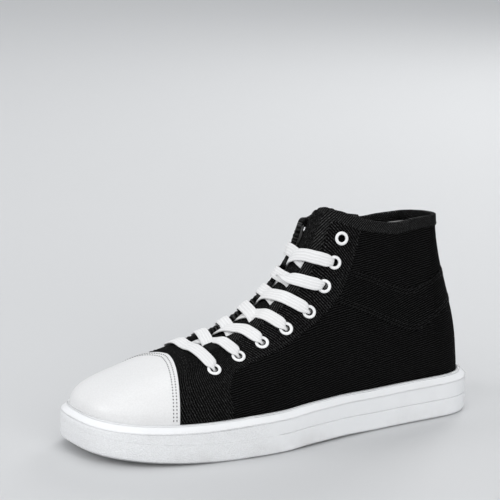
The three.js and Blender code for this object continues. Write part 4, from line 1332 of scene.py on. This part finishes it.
def rounded_profile(corners, steps=3):
    """Rows of inset, base and height, with each corner as a short arc and a guard point on either side."""
    lift = {"floor": 0.0, "lip": LIP_HEIGHT["heel"]}
    spots = [np.array([inset, height + lift[base]]) for inset, base, height, _ in corners]
    profile = []
    for i, (_, base, _, radius) in enumerate(corners):
        here = spots[i]
        arc = [here]
        if radius > 0:
            legs = [spots[j] - here for j in (i - 1, i + 1)]
            lengths = [np.linalg.norm(leg) for leg in legs]
            start, end = (here + unit(leg) * min(radius, 0.45 * long) for leg, long in zip(legs, lengths))
            before, after = (unit(leg) * min(0.5, 0.3 * long) for leg, long in zip(legs, lengths))
            t = np.linspace(0, 1, steps + 1)[:, None]
            bend = (1 - t) ** 2 * start + 2 * t * (1 - t) * here + t * t * end
            arc = [start + before, *bend, end + after]
        profile += [(inset, base, up - lift[base]) for inset, up in arc]
    return profile


SOLE_PROFILE = rounded_profile(SOLE_CORNERS)


def ring_grid(profile):
    """Rings round the sole, one for each row of a profile. The groove fades out at its front end."""
    along = place(stations.ring(0, underside))[0]
    grooved = (1 - smooth(along, GROOVE_END - 6, GROOVE_END))[:, None]
    rings = []
    for inset, base, height in profile:
        under = lip_up if base == "lip" else underside
        flush, ring = (stations.ring(depth, lambda s: under(s) + height) for depth in (0, inset))
        in_groove = 0 < inset < GROOVE_DEPTH and base == "floor" and height > EDGE_ROUND
        rings.append(mix(flush, ring, grooved) if in_groove else ring)
    return np.stack(rings, 1)


def plate(inset, height_at, rows):
    """A plate inside the sole's outline, as rings that close in on the middle."""
    edge = stations.ring(inset, underside)
    middle_along = np.clip(place(edge)[0], 0.16 * SOLE_LENGTH, 0.86 * SOLE_LENGTH)
    middle = world(middle_along, centre_line(middle_along), 0)
    share = np.linspace(0, 1, rows)[None, :, None]
    grid = mix(edge[:, None] * FLAT, middle[:, None], share)
    along, across, _ = place(grid)
    grid[..., 2] = height_at(along, across)
    return grid_sheet(grid, {"flat_u": along, "flat_v": across + grid[..., 2]})


def lug_field(points):
    """Above 0 on the lugs, below 0 in the grooves between them."""
    along, across, _ = place(points)
    nearest = np.full(len(points), SOLE_LENGTH)
    for start in np.arange(LUG_BORDER, SOLE_LENGTH - LUG_BORDER, LUG_PITCH):
        if LUG_WAIST[0] <= start / SOLE_LENGTH <= LUG_WAIST[1]:
            continue
        off = np.abs(across - centre_line(start))
        gap = np.abs(along - start - off * math.tan(LUG_SLANT)) * math.cos(LUG_SLANT)
        nearest = np.minimum(nearest, gap - LUG_GROOVE / 2)
    inward = gap_to(stations.ring(0, underside) * FLAT, points * FLAT)
    return np.maximum(nearest, LUG_BORDER - inward)


def thick_plate(sheet, thickness):
    """A plate from its own face to a face over it, or under it where the thickness is below 0."""
    count = len(sheet.points)
    flip = 1 if thickness > 0 else -1
    rim = sheet.rim()
    faces = [sheet.faces, sheet.faces[:, ::-1] + count] + rim_faces([rim, rim + count])
    points = np.concatenate([sheet.points, sheet.points + [0, 0, thickness]])
    return points, np.concatenate(faces)[:, ::flip], np.tile(sheet.flat_map(), (2, 1))


def build_sole():
    grid = ring_grid(SOLE_PROFILE)
    wall = grid_sheet(grid, {"flat_u": place(grid)[0], "flat_v": run_along(grid)})
    make_piece("sole_side_wall", (wall.points, wall.faces, wall.flat_map()), "rubber", ["sole"])
    base = plate(LUG_INSET - 0.1, lambda along, across: underside(along) + LUG_DEPTH, 34)
    lugs = plate(LUG_INSET, lambda along, across: underside(along), 60)
    lugs = lugs.cut(lug_field(lugs.points))
    tread = joined([thick_plate(base, 0.6), thick_plate(lugs, LUG_DEPTH + 0.2)])
    make_piece("sole_tread", tread, "tread")
    floor = plate(FLOOR_INSET, lambda along, across: floor_up(along), 12)
    make_piece("sole_floor", thick_plate(floor, -1.5), "tread")


def build_insole():
    inset = UPPER_INSET + WALL + INSOLE_EASE
    outline = stations.ring(inset, underside) * FLAT

    def top(along, across):
        inward = gap_to(outline, world(along, across, 0).reshape(-1, 3)).reshape(along.shape)
        edge = 1.4 * (1 - smooth(inward, 0, 9)) - 1.0 * (1 - smooth(inward, 0, 1.2))
        ahead, beside = (along - HEEL_CENTRE) / HEEL_CUP["length"], (across - 1) / HEEL_CUP["width"]
        dip = np.exp(-(ahead**2) - beside**2)
        return floor_up(along) + INSOLE_THICKNESS + edge - HEEL_CUP["depth"] * dip

    insole = thick_plate(plate(inset, top, 26), 1.2 - INSOLE_THICKNESS)
    make_piece("insole_cloth", insole, "insole", ["insole"])


def build_eyelets():
    for seat in SEATS.values():
        ring = turned(EYELET_PROFILE, seat, LAYERS[seat["layer"]][0] + 0.1)
        make_piece(f"{seat['name']}_ring", ring, "enamel", [seat["name"]])


def build_laces():
    section = rounded_section(20, 0.62)
    halves = []
    for side in (1, -1):
        path, across, sizes = lace_half(side)
        halves.append(swept(path, across, section, sizes))
    crossings = [f"lace_cross_{row}" for row in range(1, LACED_ROWS)]
    make_piece("lace", joined(halves), "lace", ["lace_bar", *crossings])


# Camera, fitted to the photograph: angles in degrees, sizes in millimetres and pixels of a 500 pixel frame
CAMERA = {"azimuth": 57.43, "elevation": 13.27, "roll": 1.43, "distance": 1744.0, "focal": 2631.0}
CAMERA_TARGET = np.array([-7.105, -17.57, 122.76])
FRAME_PIXELS = 500
SENSOR_WIDTH = 36.0


def build_camera():
    turn, rise, roll = (math.radians(CAMERA[key]) for key in ("azimuth", "elevation", "roll"))
    back = np.array([math.sin(turn) * math.cos(rise), -math.cos(turn) * math.cos(rise), math.sin(rise)])
    level = np.array([math.cos(turn), math.sin(turn), 0])
    upright = np.cross(back, level)
    right = math.cos(roll) * level + math.sin(roll) * upright
    top = -math.sin(roll) * level + math.cos(roll) * upright
    lens = bpy.data.cameras.new("photo_camera")
    lens.sensor_width = SENSOR_WIDTH
    lens.lens = CAMERA["focal"] / FRAME_PIXELS * SENSOR_WIDTH
    lens.clip_end = 100
    camera = added("photo_camera", lens)
    spot = (CAMERA_TARGET + back * CAMERA["distance"]) * METRE
    axes = Matrix(np.stack([right, top, back], 1).tolist()).to_4x4()
    camera.matrix_world = Matrix.Translation(Vector(spot)) @ axes
    bpy.context.scene.camera = camera


# Studio, in metres: the lamps' places, sizes and power in watts
FLOOR_HALF = 12.0
SKY_COLOUR = (0.86, 0.88, 0.91, 1)
SKY_STRENGTH = 0.55
AIM = Vector((0, 0, 0.07))
SOFTBOXES = {
    "top_softbox": {"spot": (-0.4, 0.1, 1.7), "size": (1.0, 1.0), "power": 5},
    "front_softbox": {"spot": (-0.5, -1.7, 0.9), "size": (0.8, 0.8), "power": 9},
    "side_softbox": {"spot": (1.7, 0.1, 0.7), "size": (0.5, 1.0), "power": 5},
    "back_softbox": {"spot": (-1.0, 1.3, 0.9), "size": (0.6, 0.6), "power": 7},
}
SUN = {"towards": (0.7, -0.5, 0.8), "power": 1.2, "softness": 75}


def build_lamp(name, kind, power, towards):
    """A lamp that shines from the way it looks towards."""
    lamp = bpy.data.lights.new(name, kind)
    lamp.energy = power
    light = added(name, lamp)
    light.rotation_euler = towards.to_track_quat("Z", "Y").to_euler()
    return light, lamp


def build_studio():
    bpy.context.scene.view_settings.view_transform = "Standard"
    floor_mesh = bpy.data.meshes.new("studio_floor")
    corners = [(x * FLOOR_HALF, y * FLOOR_HALF, 0) for x, y in ((-1, -1), (1, -1), (1, 1), (-1, 1))]
    floor_mesh.from_pydata(corners, [], [(0, 1, 2, 3)])
    material, _, shader = new_material("pale studio floor", Roughness=0.7)
    shader.inputs["Base Color"].default_value = grey(0.6, -0.01)
    floor_mesh.materials.append(material)
    added("studio_floor", floor_mesh)
    sky = bpy.data.worlds.new("studio")
    sky.use_nodes = True
    background = sky.node_tree.nodes["Background"].inputs
    background[0].default_value = SKY_COLOUR
    background[1].default_value = SKY_STRENGTH
    bpy.context.scene.world = sky
    sun = build_lamp("open_sky", "SUN", SUN["power"], Vector(SUN["towards"]))[1]
    sun.angle = math.radians(SUN["softness"])
    for name, box in SOFTBOXES.items():
        spot = Vector(box["spot"])
        light, lamp = build_lamp(name, "AREA", box["power"], spot - AIM)
        light.location = spot
        lamp.shape = "RECTANGLE"
        lamp.size, lamp.size_y = box["size"]


build_camera()
build_studio()
base_sheet = upper_sheet()
build_upper(base_sheet)
build_stitching(base_sheet)
build_tongue(base_sheet)
build_sole()
build_insole()
build_eyelets()
build_laces()
